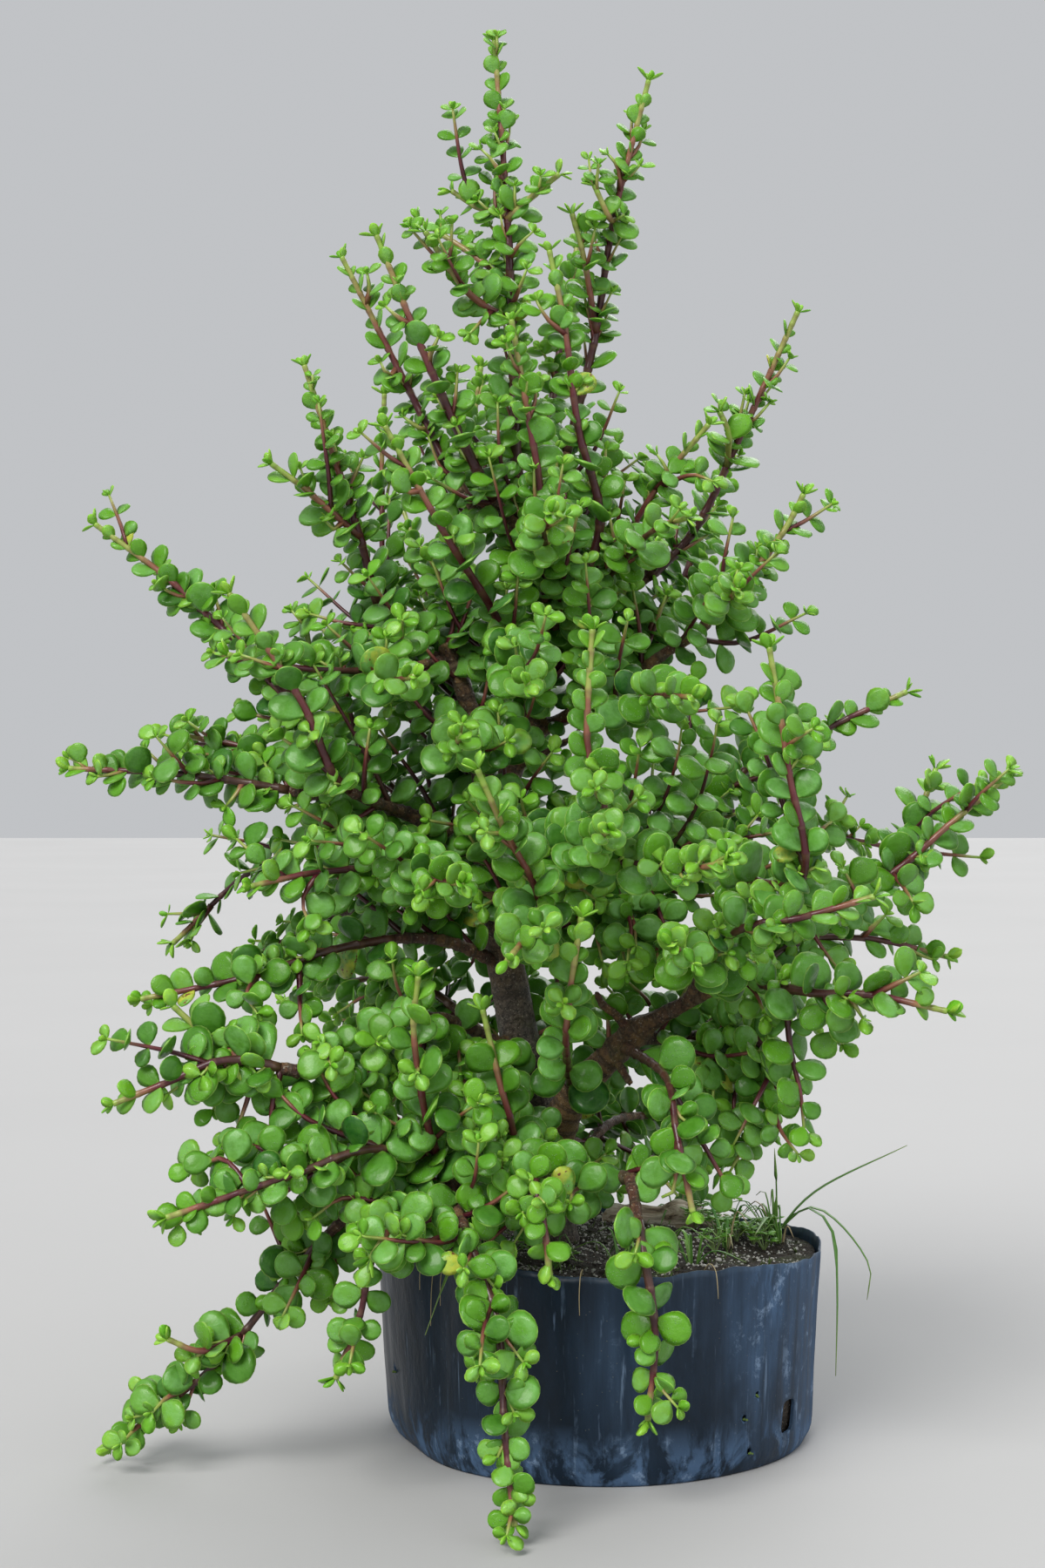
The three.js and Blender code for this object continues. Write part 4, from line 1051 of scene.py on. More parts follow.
def wood_paint():
    """Reddish where it is thin, brown with tan patches where it is thicker, and grey on the trunk."""
    paint = Paint("wood")
    thick, ring = paint.values("thick", "ring")
    fine = paint.noise(560, 7, 0.7).span(0.38, 0.62)
    broad = paint.noise(70, 4, 0.6)
    paint.colour = fine.mix((0.035, 0.012, 0.008), (0.13, 0.055, 0.030))
    paint.coat(thick.span(2.4, 4.5), fine.mix((0.030, 0.016, 0.008), (0.17, 0.095, 0.045)))
    paint.coat(thick.span(8.2, 9.2), fine.mix((0.018, 0.014, 0.011), (0.15, 0.125, 0.10)))
    paint.coat(broad.span(0.48, 0.62) * thick.span(9.2, 8.2, 0.1, 0.75), (0.24, 0.14, 0.045))
    paint.coat(paint.noise(80, 3).span(0.6, 0.7) * 0.3, (0.09, 0.11, 0.03))
    paint.coat(paint.noise(1100, 2).span(0.62, 0.68, 0, 0.75), (0.36, 0.31, 0.24))
    paint.coat(ring.span(0.05, 0.4, 0, 0.6), (0.018, 0.010, 0.006))
    paint.coat(ring.span(0.5, 1.0, 0, 0.55), (0.26, 0.19, 0.11))
    paint.bump(fine, 0.0012, 0.6)
    paint.bump(broad, 0.003, 0.4)
    return paint.finish(broad.span(0.3, 0.7, 0.34, 0.7))


def bag_paint():
    """Dusty film, scuffed beside the slot and at its heel, with streaks, runs, chalky spots and a painted
    highlight along its rim.
    """
    paint = Paint("bag")
    height, angle = paint.values("height", "angle")
    clouds = paint.noise(17, 4, 0.6, (1, 1, 0.35), 0.4)
    lines = paint.noise(150, 5, 0.6, (1, 1, 0.05))
    smear = paint.noise(62, 6, 0.68, (1, 1, 0.45), 0.6)
    dust = clouds.span(0.40, 0.68) * lines.span(0.36, 0.64, 0.3, 1) * angle.span(-1.5, -0.6, 0.3, 0.75)
    heel = height.span(0.3, 0.08) * smear.span(0.44, 0.56, 0.02, 0.8)
    beside = (angle + 0.76).math("ABSOLUTE")
    scuff = beside.span(0.22, 0.06) * height.span(0.55, 0.8) * smear.span(0.4, 0.56, 0, 0.8)
    dust = dust.math("MAXIMUM", heel).math("MAXIMUM", scuff)
    paint.colour = dust.mix((0.004, 0.010, 0.018), (0.085, 0.155, 0.275))
    paint.coat(smear.span(0.62, 0.35, 0, 0.35), (0.010, 0.027, 0.055))
    scratches = paint.noise(420, 3, 0.6, (1, 1, 0.12)).span(0.66, 0.76, 0, 0.4)
    paint.coat(scratches, (0.16, 0.23, 0.35))
    runs = paint.noise(260, 4, 0.6, (1, 1, 0.035)).span(0.60, 0.68, 0, 0.5)
    paint.coat(runs * smear.span(0.44, 0.6), (0.19, 0.28, 0.41))
    chalk = paint.noise(95, 7, 0.74).span(0.56, 0.64, 0, 0.7) * dust.span(0.15, 0.6)
    paint.coat(chalk, (0.22, 0.31, 0.44))
    # Painted highlight along the top of the rim, broken up by the smears.
    paint.coat(height.span(0.97, 1.0) * smear.span(0.4, 0.6, 0.05, 0.5), (0.10, 0.15, 0.22))
    paint.coat(paint.cells(260).span(0.06, 0.03, 0, 0.5), (0.24, 0.22, 0.16))
    paint.bump(paint.noise(42, 4, 0.55, (1, 1, 0.3)), 0.004, 0.45)
    paint.bump(paint.noise(600, 3), 0.0003, 0.35)
    rough = dust.span(0, 0.6, 0.36, 0.7) + smear.span(0.3, 0.7, -0.05, 0.08)
    return paint.finish(rough, Specular_IOR_Level=0.22)


def soil_paint():
    """Dark crumbs with pale specks and mossy stretches."""
    paint = Paint("soil")
    fine = paint.noise(520, 8, 0.7)
    paint.colour = fine.ramp(
        (0.32, (0.010, 0.008, 0.006)),
        (0.5, (0.035, 0.026, 0.018)),
        (0.68, (0.085, 0.06, 0.04)),
        (0.8, (0.17, 0.13, 0.09)),
    )
    paint.coat(paint.noise(900, 3).span(0.66, 0.7, 0, 0.8), (0.42, 0.40, 0.35))
    moss = paint.noise(40, 3).span(0.56, 0.66) * fine.span(0.4, 0.6, 0.1, 0.7)
    paint.coat(moss, (0.05, 0.085, 0.012))
    paint.bump(paint.cells(330), 0.003, 0.8)
    paint.bump(fine, 0.002, 0.9)
    return paint.finish(0.88)


def stick_paint():
    paint = Paint("weathered_wood")
    grain = paint.noise(160, 7, 0.65, (0.16, 1, 1), 0.6)
    paint.colour = grain.ramp(
        (0.38, (0.09, 0.06, 0.04)),
        (0.45, (0.38, 0.29, 0.20)),
        (0.53, (0.66, 0.56, 0.44)),
        (0.62, (0.84, 0.77, 0.64)),
    )
    paint.coat(paint.noise(60, 3).span(0.56, 0.68, 0, 0.55), (0.26, 0.14, 0.075))
    paint.bump(grain, 0.0025, 0.8)
    return paint.finish(0.8)


def grass_paint():
    paint = Paint("grass")
    share, hue = paint.values("share", "hue")
    veins = paint.noise(700, 3, 0.6)
    paint.colour = hue.mix((0.06, 0.22, 0.03), (0.20, 0.40, 0.06))
    paint.coat(share.span(0.7, 1.0, 0, 0.5), (0.34, 0.36, 0.12))
    paint.coat(hue.span(0.86, 0.9), (0.42, 0.33, 0.18))
    paint.coat(veins.span(0.5, 0.7, 0, 0.3), (0.30, 0.42, 0.16))
    paint.coat(share.span(0.12, 0.0, 0, 0.6), (0.30, 0.34, 0.16))
    paint.bump(veins, 0.0004, 0.5)
    return paint.finish(veins.span(0.3, 0.7, 0.34, 0.5))


def grainy_paint(name, noise_settings, colours, rough, bump):
    """Two colours mixed by one noise, which is the bump too."""
    paint = Paint(name)
    fine = paint.noise(*noise_settings)
    paint.colour = fine.mix(*colours)
    paint.bump(fine, *bump)
    return paint.finish(rough)


def floor_paint():
    paint = Paint("floor")
    paint.colour = paint.noise(1.5).mix((0.39, 0.39, 0.39), (0.43, 0.43, 0.43))
    paint.bump(paint.noise(180, 3), 0.0003, 0.2)
    return paint.finish(0.75)


WHITES = ((0.38, 0.36, 0.32), (0.80, 0.79, 0.75))
MOSS_GREENS = ((0.035, 0.075, 0.012), (0.13, 0.20, 0.035))

LEAF = leaf_paint()
STEM = stem_paint()
WOOD = wood_paint()
BAG = bag_paint()
SOIL = soil_paint()
PERLITE = grainy_paint("perlite", (900, 5, 0.7), WHITES, 0.85, (0.0008, 0.8))
WEATHERED = stick_paint()
BLADE = grass_paint()
MOSS = grainy_paint("moss", (700, 4, 0.6), MOSS_GREENS, 0.7, (0.001, 0.8))

# ---------------------------------------------------------------- leafy stems


def ring_distances(start, end, spots, step):
    """Where a stem has rings: evenly, and close together round each leaf pair."""
    marks = set(np.linspace(start, end, max(2, round((end - start) / step) + 1)))
    for spot in spots:
        marks.update(mark for mark in (spot - 1.1, spot - 0.3, spot + 0.5, spot + 1.5) if start < mark < end)
    ordered = sorted(marks)
    kept = [ordered[0]]
    for mark in ordered[1:]:
        if mark - kept[-1] > 0.35:
            kept.append(mark)
    return np.array(kept)


def add_stem(skin, stem, start, end, sides, step):
    """A stretch of a stem, swollen and faintly ringed at its leaf pairs."""
    spots = [spot for spot in stem.pair_spots() if start < spot < end]
    if start < stem.bare:
        spots += list(np.arange(start + 6, end, 8.5))
    distances = ring_distances(start, end, spots, step)
    radii = stem.radius_at(distances)
    apart = distances - np.array(spots)[:, None]
    swell = np.exp(-((apart / 1.3) ** 2)).sum(axis=0)
    ring = np.exp(-(((apart + 0.9) / 0.5) ** 2)).max(axis=0, initial=0)
    collar = 0.45 * radii * np.exp(-distances / (1.2 * radii)) if start == 0 else 0
    from_tip = stem.length - distances
    plump = 0.35 * np.exp(-from_tip / 40)
    wide = radii * (1 + 0.2 * np.minimum(swell, 1)) + collar + plump
    age = np.clip(from_tip / (170 if stem.route.aheads[-1][2] > 0.5 else 60), 0, 1)
    tube(skin, stem.route, distances, wide, sides, age=age, ring=ring, thick=radii)


def add_shoot(bark, foliage, shoot):
    route, radius, leaves = shoot
    distances = np.linspace(0, route.length, max(3, round(route.length / 5) + 1))
    radii = np.linspace(radius, 0.6, len(distances))
    age = np.clip((route.length - distances) / 60, 0, 1)
    tube(bark, route, distances, radii, 4, age=age, ring=0 * age, thick=radii)
    for leaf in leaves:
        add_leaf(foliage, leaf)


TIP_LEAF = 7.2
WOOD_OVERLAP = 0.3

for group, members in groups.items():
    bark = Skin()
    foliage = Skin()
    for stem in members:
        add_stem(bark, stem, stem.bare + WOOD_OVERLAP if stem.bare else 0, stem.length, 6, 4.5)
        twist = stem.draws(7)
        turn = None if stem.route.aheads[-1][2] > 0.4 else twist() * 3
        for leaf in stem_leaves(stem) + tip_leaves(stem.route, TIP_LEAF, twist, turn, 0.7):
            if leaf.is_clear():
                add_leaf(foliage, leaf)
        for shoot in side_shoots(stem) + wood_shoots(stem) + extra_shoots(stem):
            add_shoot(bark, foliage, shoot)
    bark.make(group + "_stem", STEM, "bark", [group])
    foliage.make(group + "_leaves", LEAF, "foliage", [group])

# ---------------------------------------------------------------- old wood

WOOD_VOXEL = 1.5

# Bare side twigs of the old wood: from which limb, at what share of it, points and radius.
TWIGS = [
    ("limb_right", 0.93, [(6, -43, 194), (0, -46, 199), (-3, -44, 206)], 2.3),
    ("limb_right", 0.78, [(9, -48, 170), (13, -54, 163)], 2.2),
    ("fork_right", 0.2, [(-14, -14, 316), (-8, -22, 322)], 2.0),
]
twigs = []
for parent, share, points, radius in TWIGS:
    twigs.append((Route([stems[parent].route.at(share), *points], 6), radius))


def build_old_wood():
    """Limbs and twigs, grown together into one skin."""
    skin = Skin()
    for route, radius in twigs:
        distances = np.arange(0, route.length, 2.0)
        tube(skin, route, distances, np.linspace(1.15, 0.85, len(distances)) * radius, 9)
    for stem in OLD_WOOD:
        distances = np.arange(0, stem.length, 2.0)
        if stem.name == "trunk":
            flare = np.exp(-np.maximum(distances - 14, 0) / 16)
        else:
            flare = np.exp(-distances / (2 * stem.radius))
        tube(skin, stem.route, distances, stem.radius_at(distances) * (1 + 0.35 * flare), 12)
    piece = skin.make("old_wood", WOOD, "bark", ["wood"])
    remesh = piece.modifiers.new("remesh", "REMESH")
    remesh.mode = "VOXEL"
    remesh.voxel_size = WOOD_VOXEL / 1000
    smooth = piece.modifiers.new("smooth", "SMOOTH")
    smooth.factor = 0.5
    smooth.iterations = 5
    bake(piece)
    return piece


def scar_ring(name, distance):
    """Old leaf scars: raised rings at uneven distances along a limb, from 0 to 1."""
    gap = 5.2 if name == "limb_right" else 8.5
    phase = distance / gap + 0.6 * math.sin(distance / 9)
    depth = 0.35 if name == "trunk" else 1
    return depth * math.exp(-(((phase % 1) - 0.5) / 0.11) ** 2)


def nearest_wood(points):
    """For each point: how thick the limb is there, and how close to a scar ring it lies."""
    marks = []
    for stem in OLD_WOOD:
        for distance in np.arange(0, stem.length, 0.8):
            at = stem.route.frame(distance)[0]
            marks.append((*at, stem.radius_at(distance), scar_ring(stem.name, distance)))
    for route, radius in twigs:
        for distance in np.arange(0, route.length, 0.8):
            marks.append((*route.frame(distance)[0], radius, scar_ring("limb_right", distance)))
    marks = np.array(marks)
    found = []
    for part in np.array_split(points, 1 + len(points) // 4000):
        apart = np.linalg.norm(part[:, None, :] - marks[:, :3], axis=2) / marks[:, 3] ** 0.8
        found.append(marks[apart.argmin(axis=1), 3:])
    return np.vstack(found).T


def weather(piece):
    """Scar rings and uneven bark, moved into the mesh."""
    mesh = piece.data
    points = np.empty(len(mesh.vertices) * 3)
    normals = np.empty(len(mesh.vertices) * 3)
    mesh.vertices.foreach_get("co", points)
    mesh.vertices.foreach_get("normal", normals)
    points = points.reshape(-1, 3) * 1000
    thick, scars = nearest_wood(points)
    rough = np.array([noise.noise(point / 4.5) for point in points])
    lumps = np.array([noise.noise(point / 14) for point in points])
    move = scars * (0.25 + 0.05 * thick) * (0.6 + 0.8 * lumps) + 0.35 * rough + 0.06 * thick * lumps
    points += normals.reshape(-1, 3) * move[:, None]
    mesh.vertices.foreach_set("co", (points / 1000).ravel())
    set_paint(mesh, "thick", thick)
    set_paint(mesh, "ring", scars)
    mesh.polygons.foreach_set("use_smooth", [True] * len(mesh.polygons))
    mesh.update()


weather(build_old_wood())

feet = Skin()
inner_stems = Skin()
inner_leaves = Skin()
for stem in stems.values():
    if stem.is_wood:
        for shoot in wood_shoots(stem) + extra_shoots(stem):
            add_shoot(inner_stems, inner_leaves, shoot)
    elif stem.bare:
        add_stem(feet, stem, 0, stem.bare + WOOD_OVERLAP, 7, 3.0)
feet.make("stem_feet", WOOD, "bark", ["wood"])
inner_stems.make("inner_stems", STEM, "bark")
inner_leaves.make("inner_leaves", LEAF, "foliage")

# ---------------------------------------------------------------- bag


def bag_radius(height):
    return float(np.interp(height, (0, HEEL_HEIGHT, BAG_HEIGHT), (BAG_BASE, BAG_HEEL, BAG_RIM)))


def beside(angle, middle, width):
    """A smooth hill round an angle, 1 at its middle."""
    apart = (angle - middle + math.pi) % TURN - math.pi
    return math.exp(-((apart / width) ** 2))


def slump(out, angle, z):
    """Where a place in the bag, at a distance out from its middle, lies once the bag has slumped."""
    rise = z / BAG_HEIGHT
    lift = RIM_TILT * math.cos(angle - RIM_HIGH) + RIM_WAVE * math.sin(5 * angle)
    bulge = 1.2 * math.sin(3 * angle + 0.5) + 0.7 * math.sin(8 * angle)
    fold = FOLD_DEPTH * rise * beside(angle, FOLD_ANGLE, FOLD_WIDTH)
    tuck = TUCK_DEPTH * beside(angle, TUCK_ANGLE, TUCK_WIDTH) * math.exp(-z / TUCK_HEIGHT)
    outness = min(1, out / BAG_BASE)
    out += outness**4 * (bulge * (0.3 + 0.7 * rise) - fold - tuck)
    return bearing(angle) * out + UP * z * (1 + lift * outness**2)


def wander(angle, fine, level):
    """Noise that closes on itself round the bag."""
    return noise.noise(bearing(angle) * fine + UP * level)


def bag_corner(angle, height, inside):
    """A corner of the film, with its small folds, its seam and its wavy rim."""
    rise = height / BAG_HEIGHT
    wall = BAG_WALL - 0.6 * min(max((height - 8) / 60, 0), 1)
    folds = 0.7 * wander(angle, 3, 1.5 * rise) + 0.45 * wander(angle, 11, 1.2 * rise + 9)
    folds += 0.4 * wander(angle, 5, 3.5 * rise + 20) + 0.9 * beside(angle, math.radians(-13), 0.016)
    folds *= min(1, height / 6) * (0.9 if inside else 1)
    wave = (1.1 * wander(angle, 9, 4) + 0.5 * wander(angle, 31, 4)) * max(0, 2 * rise - 1)
    place = slump(bag_radius(height) - (wall if inside else 0), angle, height)
    return place + bearing(angle) * folds + UP * wave


def build_bag():
    """The film, in rings up its outside and down its inside."""
    sides, rows = 240, 26
    heights = [0, 0.8, 2.5, *np.linspace(4.5, BAG_HEIGHT, rows)]
    rings = [(height, False) for height in heights]
    rings += [(height, True) for height in reversed(heights) if height >= BAG_FLOOR]
    angles = turns_of(sides) - math.pi
    corners = [bag_corner(angle, height, inside) for height, inside in rings for angle in angles]
    levels = np.repeat([height / BAG_HEIGHT for height, _ in rings], sides)
    skin = Skin()
    skin.add(corners, loft_faces(len(rings), sides), height=levels, angle=np.tile(angles, len(rings)))
    return skin.make("bag_film", BAG, "bag_plastic", ["bag"])


CUT_FROM = 88  # how far from the bag's middle a hole's cutter starts and ends
CUT_TO = 112


def squared(wave, square):
    """A sine or cosine pushed out towards a square's, more so the smaller the power."""
    return np.copysign(np.abs(wave) ** square, wave)


def punch(piece, angle, height, wide, tall, sides=20, square=0.8, skew=0.0):
    """Cuts a rounded hole straight through the film."""
    turns = turns_of(sides)
    rise = tall / 2 * squared(np.sin(turns), square)
    aside = wide / 2 * squared(np.cos(turns), square) + skew * rise
    up = height + rise + 0.25 * np.sin(5 * turns) * square
    ring = np.outer(aside, bearing(angle + math.pi / 2)) + np.outer(up, UP)
    skin = Skin()
    skin.add(np.vstack([ring + bearing(angle) * depth for depth in (CUT_FROM, CUT_TO)]), loft_faces(2, sides))
    tool = placed("cutter", skin.mesh("cutter", smooth=False))
    cut = piece.modifiers.new("cut", "BOOLEAN")
    cut.operation = "DIFFERENCE"
    cut.solver = "EXACT"
    cut.object = tool
    bake(piece)
    bpy.data.objects.remove(tool)


# The slot as the photograph shows it, against the solid's: further round, wider and less tall.
SLOT_FURTHER = 0.02
SLOT_WIDER = 5
SLOT_SHORTER = 1

HOLE_WIDE = 2.6
HOLE_TALL = 2.9

# Punched holes of the film: degrees round it, and height.
HOLES = [(-52, 24), (-47.5, 33), (-50, 9), (-118, 27), (20, 26), (66, 25), (112, 27), (158, 25), (-160, 34)]
film = build_bag()
slot_size = (SLOT_WIDE + SLOT_WIDER, SLOT_TALL - SLOT_SHORTER)
punch(film, SLOT_ANGLE + SLOT_FURTHER, SLOT_HEIGHT, *slot_size, square=0.42, skew=0.12)
for degrees, height in HOLES:
    punch(film, math.radians(degrees), height, HOLE_WIDE, HOLE_TALL, 12)

# ---------------------------------------------------------------- soil

LITTER = 2.6  # how far loose crumbs stand over the soil's level
CRUMBS = 520
PERLITE_LUMPS = 260
PERLITE_GRAINS = 2300


def ground(x, y):
    """The place on the soil at x and y."""
    out = math.hypot(x, y)
    crown = SOIL_CROWN * max(0, 1 - (out / 95) ** 2)
    spot = Vector((x, y, 0))
    lumps = 2.2 * noise.noise(spot / 17) + 1.3 * noise.noise((spot + Vector((0, 0, 3))) / 6)
    grit = 0.6 * noise.noise((spot + Vector((0, 0, 7))) / 2.2)
    level = SOIL_HEIGHT + LITTER + crown + (lumps + grit) * min(1, (98.5 - out) / 6 + 0.2)
    return slump(out, math.atan2(y, x), level)


def on_soil(draw, limit=94, gather=0.5):
    out = limit * draw() ** gather
    angle = TURN * draw()
    return ground(out * math.cos(angle), out * math.sin(angle))


def soil_radius(height):
    return bag_radius(height) - BAG_WALL - SOIL_INSET


def build_soil():
    """The soil, in rings up its side and then inward over its top."""
    turns = turns_of(170)
    rows = 38
    sides = (BAG_FLOOR + 0.4, 20, 50, 74)
    corners = [slump(soil_radius(height), turn, height) for height in sides for turn in turns]
    for row in range(rows):
        radius = soil_radius(SOIL_HEIGHT) * (1 - row / rows)
        corners += [ground(radius * math.cos(turn), radius * math.sin(turn)) for turn in turns]
    skin = Skin()
    skin.add(corners, loft_faces(len(sides) + rows, len(turns)))
    skin.make("soil_body", SOIL, "soil", ["soil"])


build_soil()

ball = bmesh.new()
bmesh.ops.create_icosphere(ball, subdivisions=1, radius=1)
LUMP = (np.array([tuple(v.co) for v in ball.verts]), [[v.index for v in face.verts] for face in ball.faces])
ball.free()
SQUARE = ((0, 2), (2, 1), (1, 3), (3, 0))
GRAIN = (
    np.array([(1, 0, 0), (-1, 0, 0), (0, 1, 0), (0, -1, 0), (0, 0, 1), (0, 0, -1)], float),
    [(a, b, 4) for a, b in SQUARE] + [(b, a, 5) for a, b in SQUARE],
)


def add_lump(skin, at, size, draw, flat=0.7, form=LUMP):
    jitter = np.array([0.7 + 0.6 * draw() for _ in form[0]])
    stretch = np.array([0.7 + 0.6 * draw(), 0.7 + 0.6 * draw(), flat])
    turn = TURN * draw()
    x, y, z = (form[0] * jitter[:, None] * stretch * size).T
    corners = [x * math.cos(turn) - y * math.sin(turn), x * math.sin(turn) + y * math.cos(turn), z]
    skin.add(np.stack(corners, axis=1) + at, form[1])


draw = seeded(41)
crumbs, perlite, hole_moss = Skin(), Skin(), Skin()
for _ in range(CRUMBS):
    add_lump(crumbs, on_soil(draw), 0.6 + 1.9 * draw() ** 2, draw)
for _ in range(PERLITE_LUMPS):
    add_lump(perlite, on_soil(draw) + UP * 0.2, 0.6 + 1.1 * draw() ** 2, draw)
for _ in range(PERLITE_GRAINS):
    add_lump(perlite, on_soil(draw, 96, 0.7) + UP * 0.3, 0.35 + 0.6 * draw() ** 2, draw, 0.8, GRAIN)
for degrees, height in HOLES:
    inside = bearing(math.radians(degrees)) * 98.2 + UP * (height - 0.7)
    for _ in range(3):
        add_lump(hole_moss, inside + 1.2 * shake(draw), 0.8, draw)
hole_moss.make("hole_moss", MOSS, "grass", smooth=False)
crumbs.make("soil_crumbs", SOIL, "soil", smooth=False)
perlite.make("perlite", PERLITE, "soil")

# ---------------------------------------------------------------- moss, weeds and grass

TUFT_BLADES = 22
THIN_BLADES = 9
MOSS_SPOTS = 110
WEED_STALKS = 7
FOLDED = ((-1, 0.35), (0, 0), (1, 0.35))
BLADE_HALF = 0.16
BLADE_SECTION = [(*fold, BLADE_HALF) for fold in FOLDED] + [(*fold, -BLADE_HALF) for fold in reversed(FOLDED)]


def add_blade(skin, points, width, hue, stations=14):
    """A thin folded blade that tapers to its tip."""
    route = Route(points, 8)
    rings = []
    shares = np.arange(stations) / (stations - 1)
    for share in shares:
        at, ahead, side, across = route.frame(share * route.length)
        level = cross(ahead, UP)
        if np.linalg.norm(level) > 0.15:
            side = unit(level)
            across = cross(side, ahead)
        half = width / 2 * (0.55 + 0.45 * min(1, share / 0.2)) * (1 - share**2.2) + 0.06
        for aside, fold, thick in BLADE_SECTION:
            rings.append(at + side * aside * half + across * (fold * half + thick))
    skin.add(rings, loft_faces(stations, 6), share=np.repeat(shares, 6), hue=hue)


def bowed(foot, draw, reach, rise, scatter, knee, droop):
    """Three points of a blade that leaves its foot at any turn and bows over.

    Reach, rise and droop are each a least value and what a draw may add to it.
    """
    away = bearing(TURN * draw())
    reach = reach[0] + reach[1] * draw()
    rise = rise[0] + rise[1] * draw()
    start = foot + away * scatter * draw()
    middle = start + away * reach * knee + UP * rise
    return start, middle, start + away * reach + UP * rise * (droop[0] + droop[1] * draw())


for node, (foot, blades) in GRASS.items():
    base = np.array([*foot, SOIL_HEIGHT + SOIL_CROWN - 2.0])
    draw = seeded(60 + len(blades))
    tuft = Skin()
    for points, width in blades:
        shift = np.array([draw() - 0.5, draw() - 0.5, 0]) * 3
        add_blade(tuft, [base + shift, *points], width, 0.3 + 0.4 * draw())
    for _ in range(TUFT_BLADES):
        points = bowed(base, draw, (8, 26), (8, 16), 2.5, 0.45, (0.2, 0.9))
        end = points[-1]
        if math.hypot(end[0], end[1]) < 96 and end[2] > 85:
            add_blade(tuft, points, 0.8 + 1.1 * draw(), draw(), 9)
    tuft.make(node + "_blades", BLADE, "grass", [node])

# Where thin grass has seeded itself over the soil.
TUFTS = [
    (-44, -52), (-24, -70), (-60, -44), (58, -14), (40, -52), (22, -66),
    (62, 26), (84, 8), (8, -80), (-76, 6), (-30, 66), (40, 70),
]
draw = seeded(91)
thin = Skin()
for x, y in TUFTS:
    for _ in range(THIN_BLADES):
        points = bowed(ground(x, y) - UP * 0.5, draw, (6, 22), (6, 15), 3, 0.4, (0.1, 0.8))
        end = points[-1]
        if math.hypot(end[0], end[1]) < 93 or end[2] > 99:
            add_blade(thin, points, 0.7 + 0.8 * draw(), draw(), 11)
thin.make("thin_grass", BLADE, "grass")

# Root fibres that hang over the rim: degrees round it, and how far each drops.
FIBRES = [(-137, 26), (-133.5, 17), (-141, 12), (-96, 13), (-63, 9)]
fibres = Skin()
for degrees, drop in FIBRES:
    points = []
    for out, height in ((93, 84.5), (99, 89.5), (103.3, 87.5), (105.4, 85 - 0.4 * drop), (105, 85 - drop)):
        points.append(slump(out, math.radians(degrees) + 0.012 * (draw() - 0.5), height))
    route = Route(points, 5)
    distances = np.linspace(0, route.length, 14)
    radii = np.linspace(0.3, 0.144, 14)
    tube(fibres, route, distances, radii, 5, share=np.full(14, 0.5), hue=np.full(14, 0.95))
fibres.make("root_fibres", BLADE, "grass")

draw = seeded(77)
moss = Skin()
for _ in range(MOSS_SPOTS):
    centre = on_soil(draw, 96)
    for _ in range(3):
        away = bearing(TURN * draw())
        high = 1.2 + 2.0 * draw()
        start = centre + away * 1.4 * draw() - UP * 0.4
        end = start + away * 1.1 + UP * high
        add_blade(moss, [start, (start + end) / 2 + UP * 0.3, end], 0.55, draw(), 4)
moss.make("moss", MOSS, "grass")

# Small weeds, each a few stalks with three round leaves.
WEEDS = [
    (67, 20), (60, 32), (72, 8), (-50, 30), (20, 70), (-20, -62),
    (48, 44), (76, -4), (64, 2), (56, 14), (78, 14), (52, -24),
]
weeds, stalks = Skin(), Skin()
for x, y in WEEDS:
    foot = ground(x, y)
    for _ in range(WEED_STALKS):
        turn = TURN * draw()
        top = foot + bearing(turn) * (3 + 4 * draw()) + UP * (4 + 7 * draw())
        route = Route([foot, (foot + top) / 2 + UP * 1.2, top], 4)
        distances = np.linspace(0, route.length, 5)
        tube(stalks, route, distances, np.full(5, 0.35), 5, share=np.zeros(5), hue=np.full(5, 0.5))
        for k in range(3):
            along = unit(bearing(turn + k * 2.1, 0.25))
            size = 3 + 2 * draw()
            face = square_to(along, UP)
            add_leaf(weeds, Leaf(top, along, face, size, size * 0.95, 0.35, 0.15 * draw(), draw()))
weeds.make("weeds", LEAF, "grass")
stalks.make("weed_stalks", BLADE, "grass")

# ---------------------------------------------------------------- stick


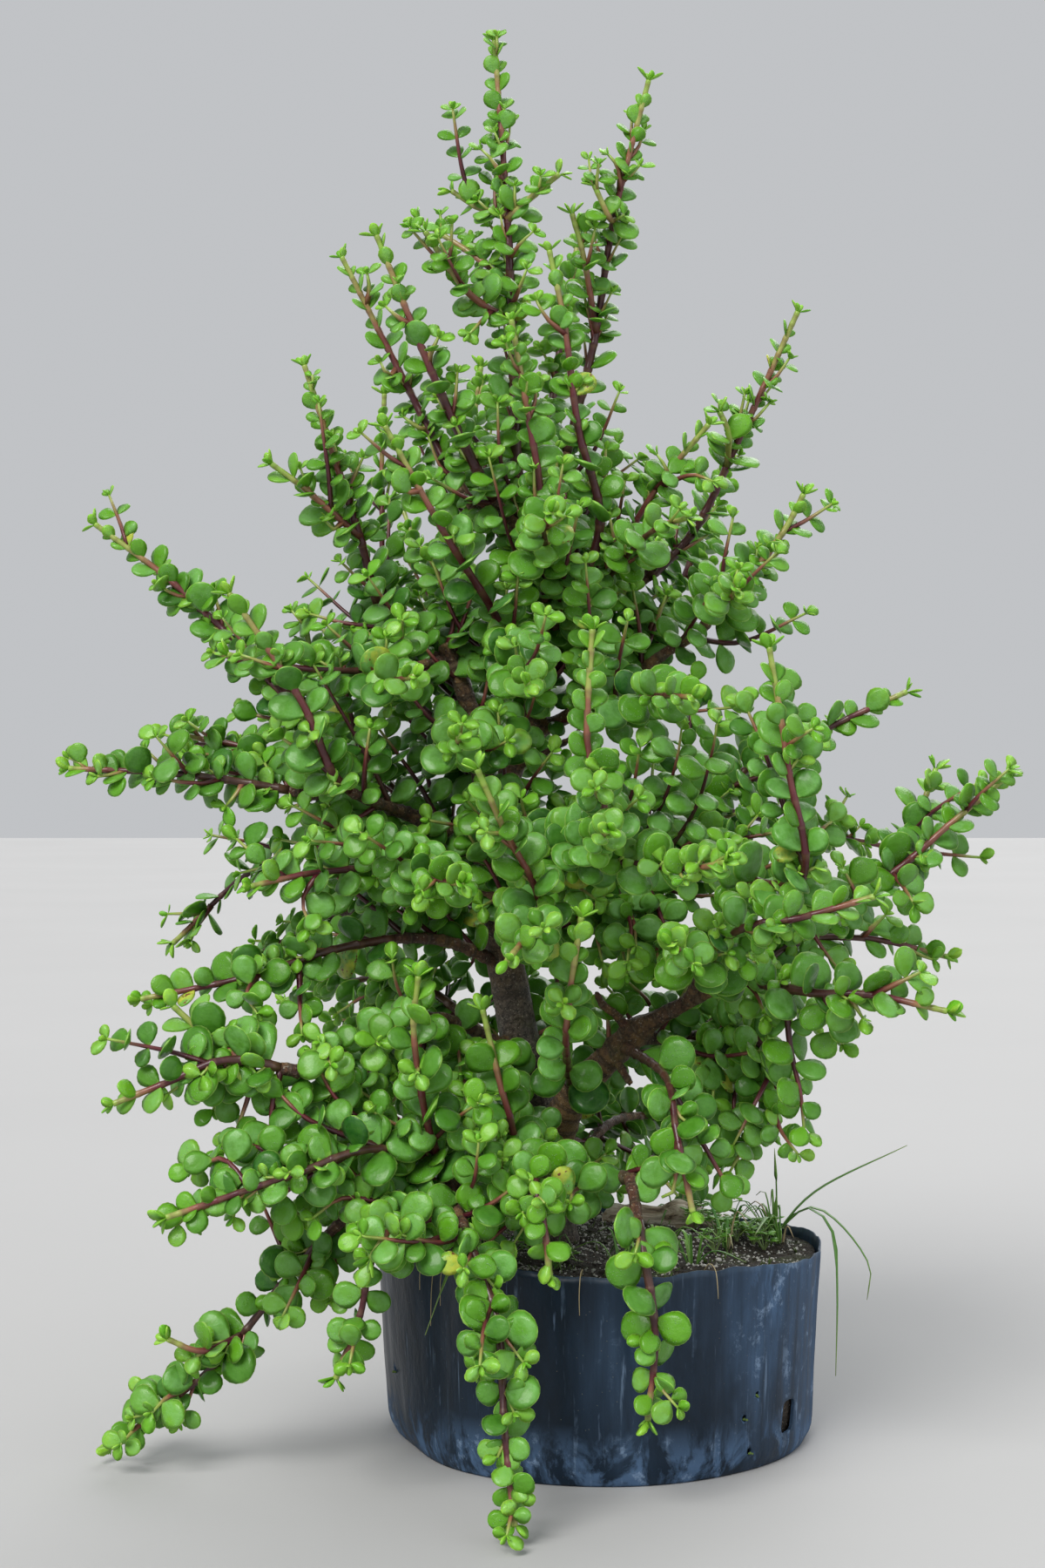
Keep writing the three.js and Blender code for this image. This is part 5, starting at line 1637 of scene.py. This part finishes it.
def build_stick():
    """The weathered stick, cracked along its grain and lumpy."""
    route = Route(STICK)
    sides = 28
    distances = np.linspace(0, route.length, 70)
    corners = []
    for distance in distances:
        at, _, side, across = route.frame(distance)
        end = min(distance, route.length - distance)
        radius = STICK_RADIUS * (1 + 0.2 * math.sin(distance / 5)) * (0.55 + 0.45 * min(1, end / 3.5))
        for turn in -turns_of(sides):
            x, y = math.cos(turn), math.sin(turn)
            grain = noise.noise((distance / 26, 4.5 * x, 4.5 * y))
            lump = noise.noise((distance / 8, x, y + 5))
            corners.append(at + radius * (0.92 + 0.36 * grain + 0.2 * lump) * (x * side + y * across))
    skin = Skin()
    skin.add(corners, loft_faces(len(distances), sides))
    skin.make("weathered_stick", WEATHERED, "dead_wood", ["dead_wood"])


build_stick()

# ---------------------------------------------------------------- floor, light and world

MIDDLE = (-0.03, 0, 0.32)
SKY_COLOUR = (0.83, 0.85, 0.88, 1)
SKY_POWER = 0.64


def add_floor(half=12):
    mesh = bpy.data.meshes.new("floor")
    corners = [(-half, -half, 0), (half, -half, 0), (half, half, 0), (-half, half, 0)]
    mesh.from_pydata(corners, [], [(0, 1, 2, 3)])
    mesh.materials.append(floor_paint())
    floor = placed("floor", mesh)
    floor.location.z = -0.0004
    floor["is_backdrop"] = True


def add_light(name, at, spread, power, colour):
    """A soft sun that shines from a place at the middle of the bush."""
    data = bpy.data.lights.new(name, "SUN")
    data.angle = math.radians(spread)
    data.energy = power
    data.color = colour
    light = placed(name, data)
    light.location = at
    light.rotation_euler = (Vector(at) - Vector(MIDDLE)).to_track_quat("Z", "Y").to_euler()


add_floor()
add_light("key", (-0.9, -1.5, 2.0), 35, 3.1, (1.0, 0.98, 0.95))
add_light("fill", (1.5, -1.2, 0.9), 60, 0.6, (0.93, 0.97, 1.0))
add_light("back", (0.5, 1.5, 1.7), 45, 1.2, (1.0, 1.0, 1.0))

world = bpy.data.worlds.new("world")
world.use_nodes = True
sky = world.node_tree.nodes["Background"]
sky.inputs["Color"].default_value = SKY_COLOUR
sky.inputs["Strength"].default_value = SKY_POWER
bpy.context.scene.world = world
bpy.context.scene.view_settings.view_transform = "Standard"

low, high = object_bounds()
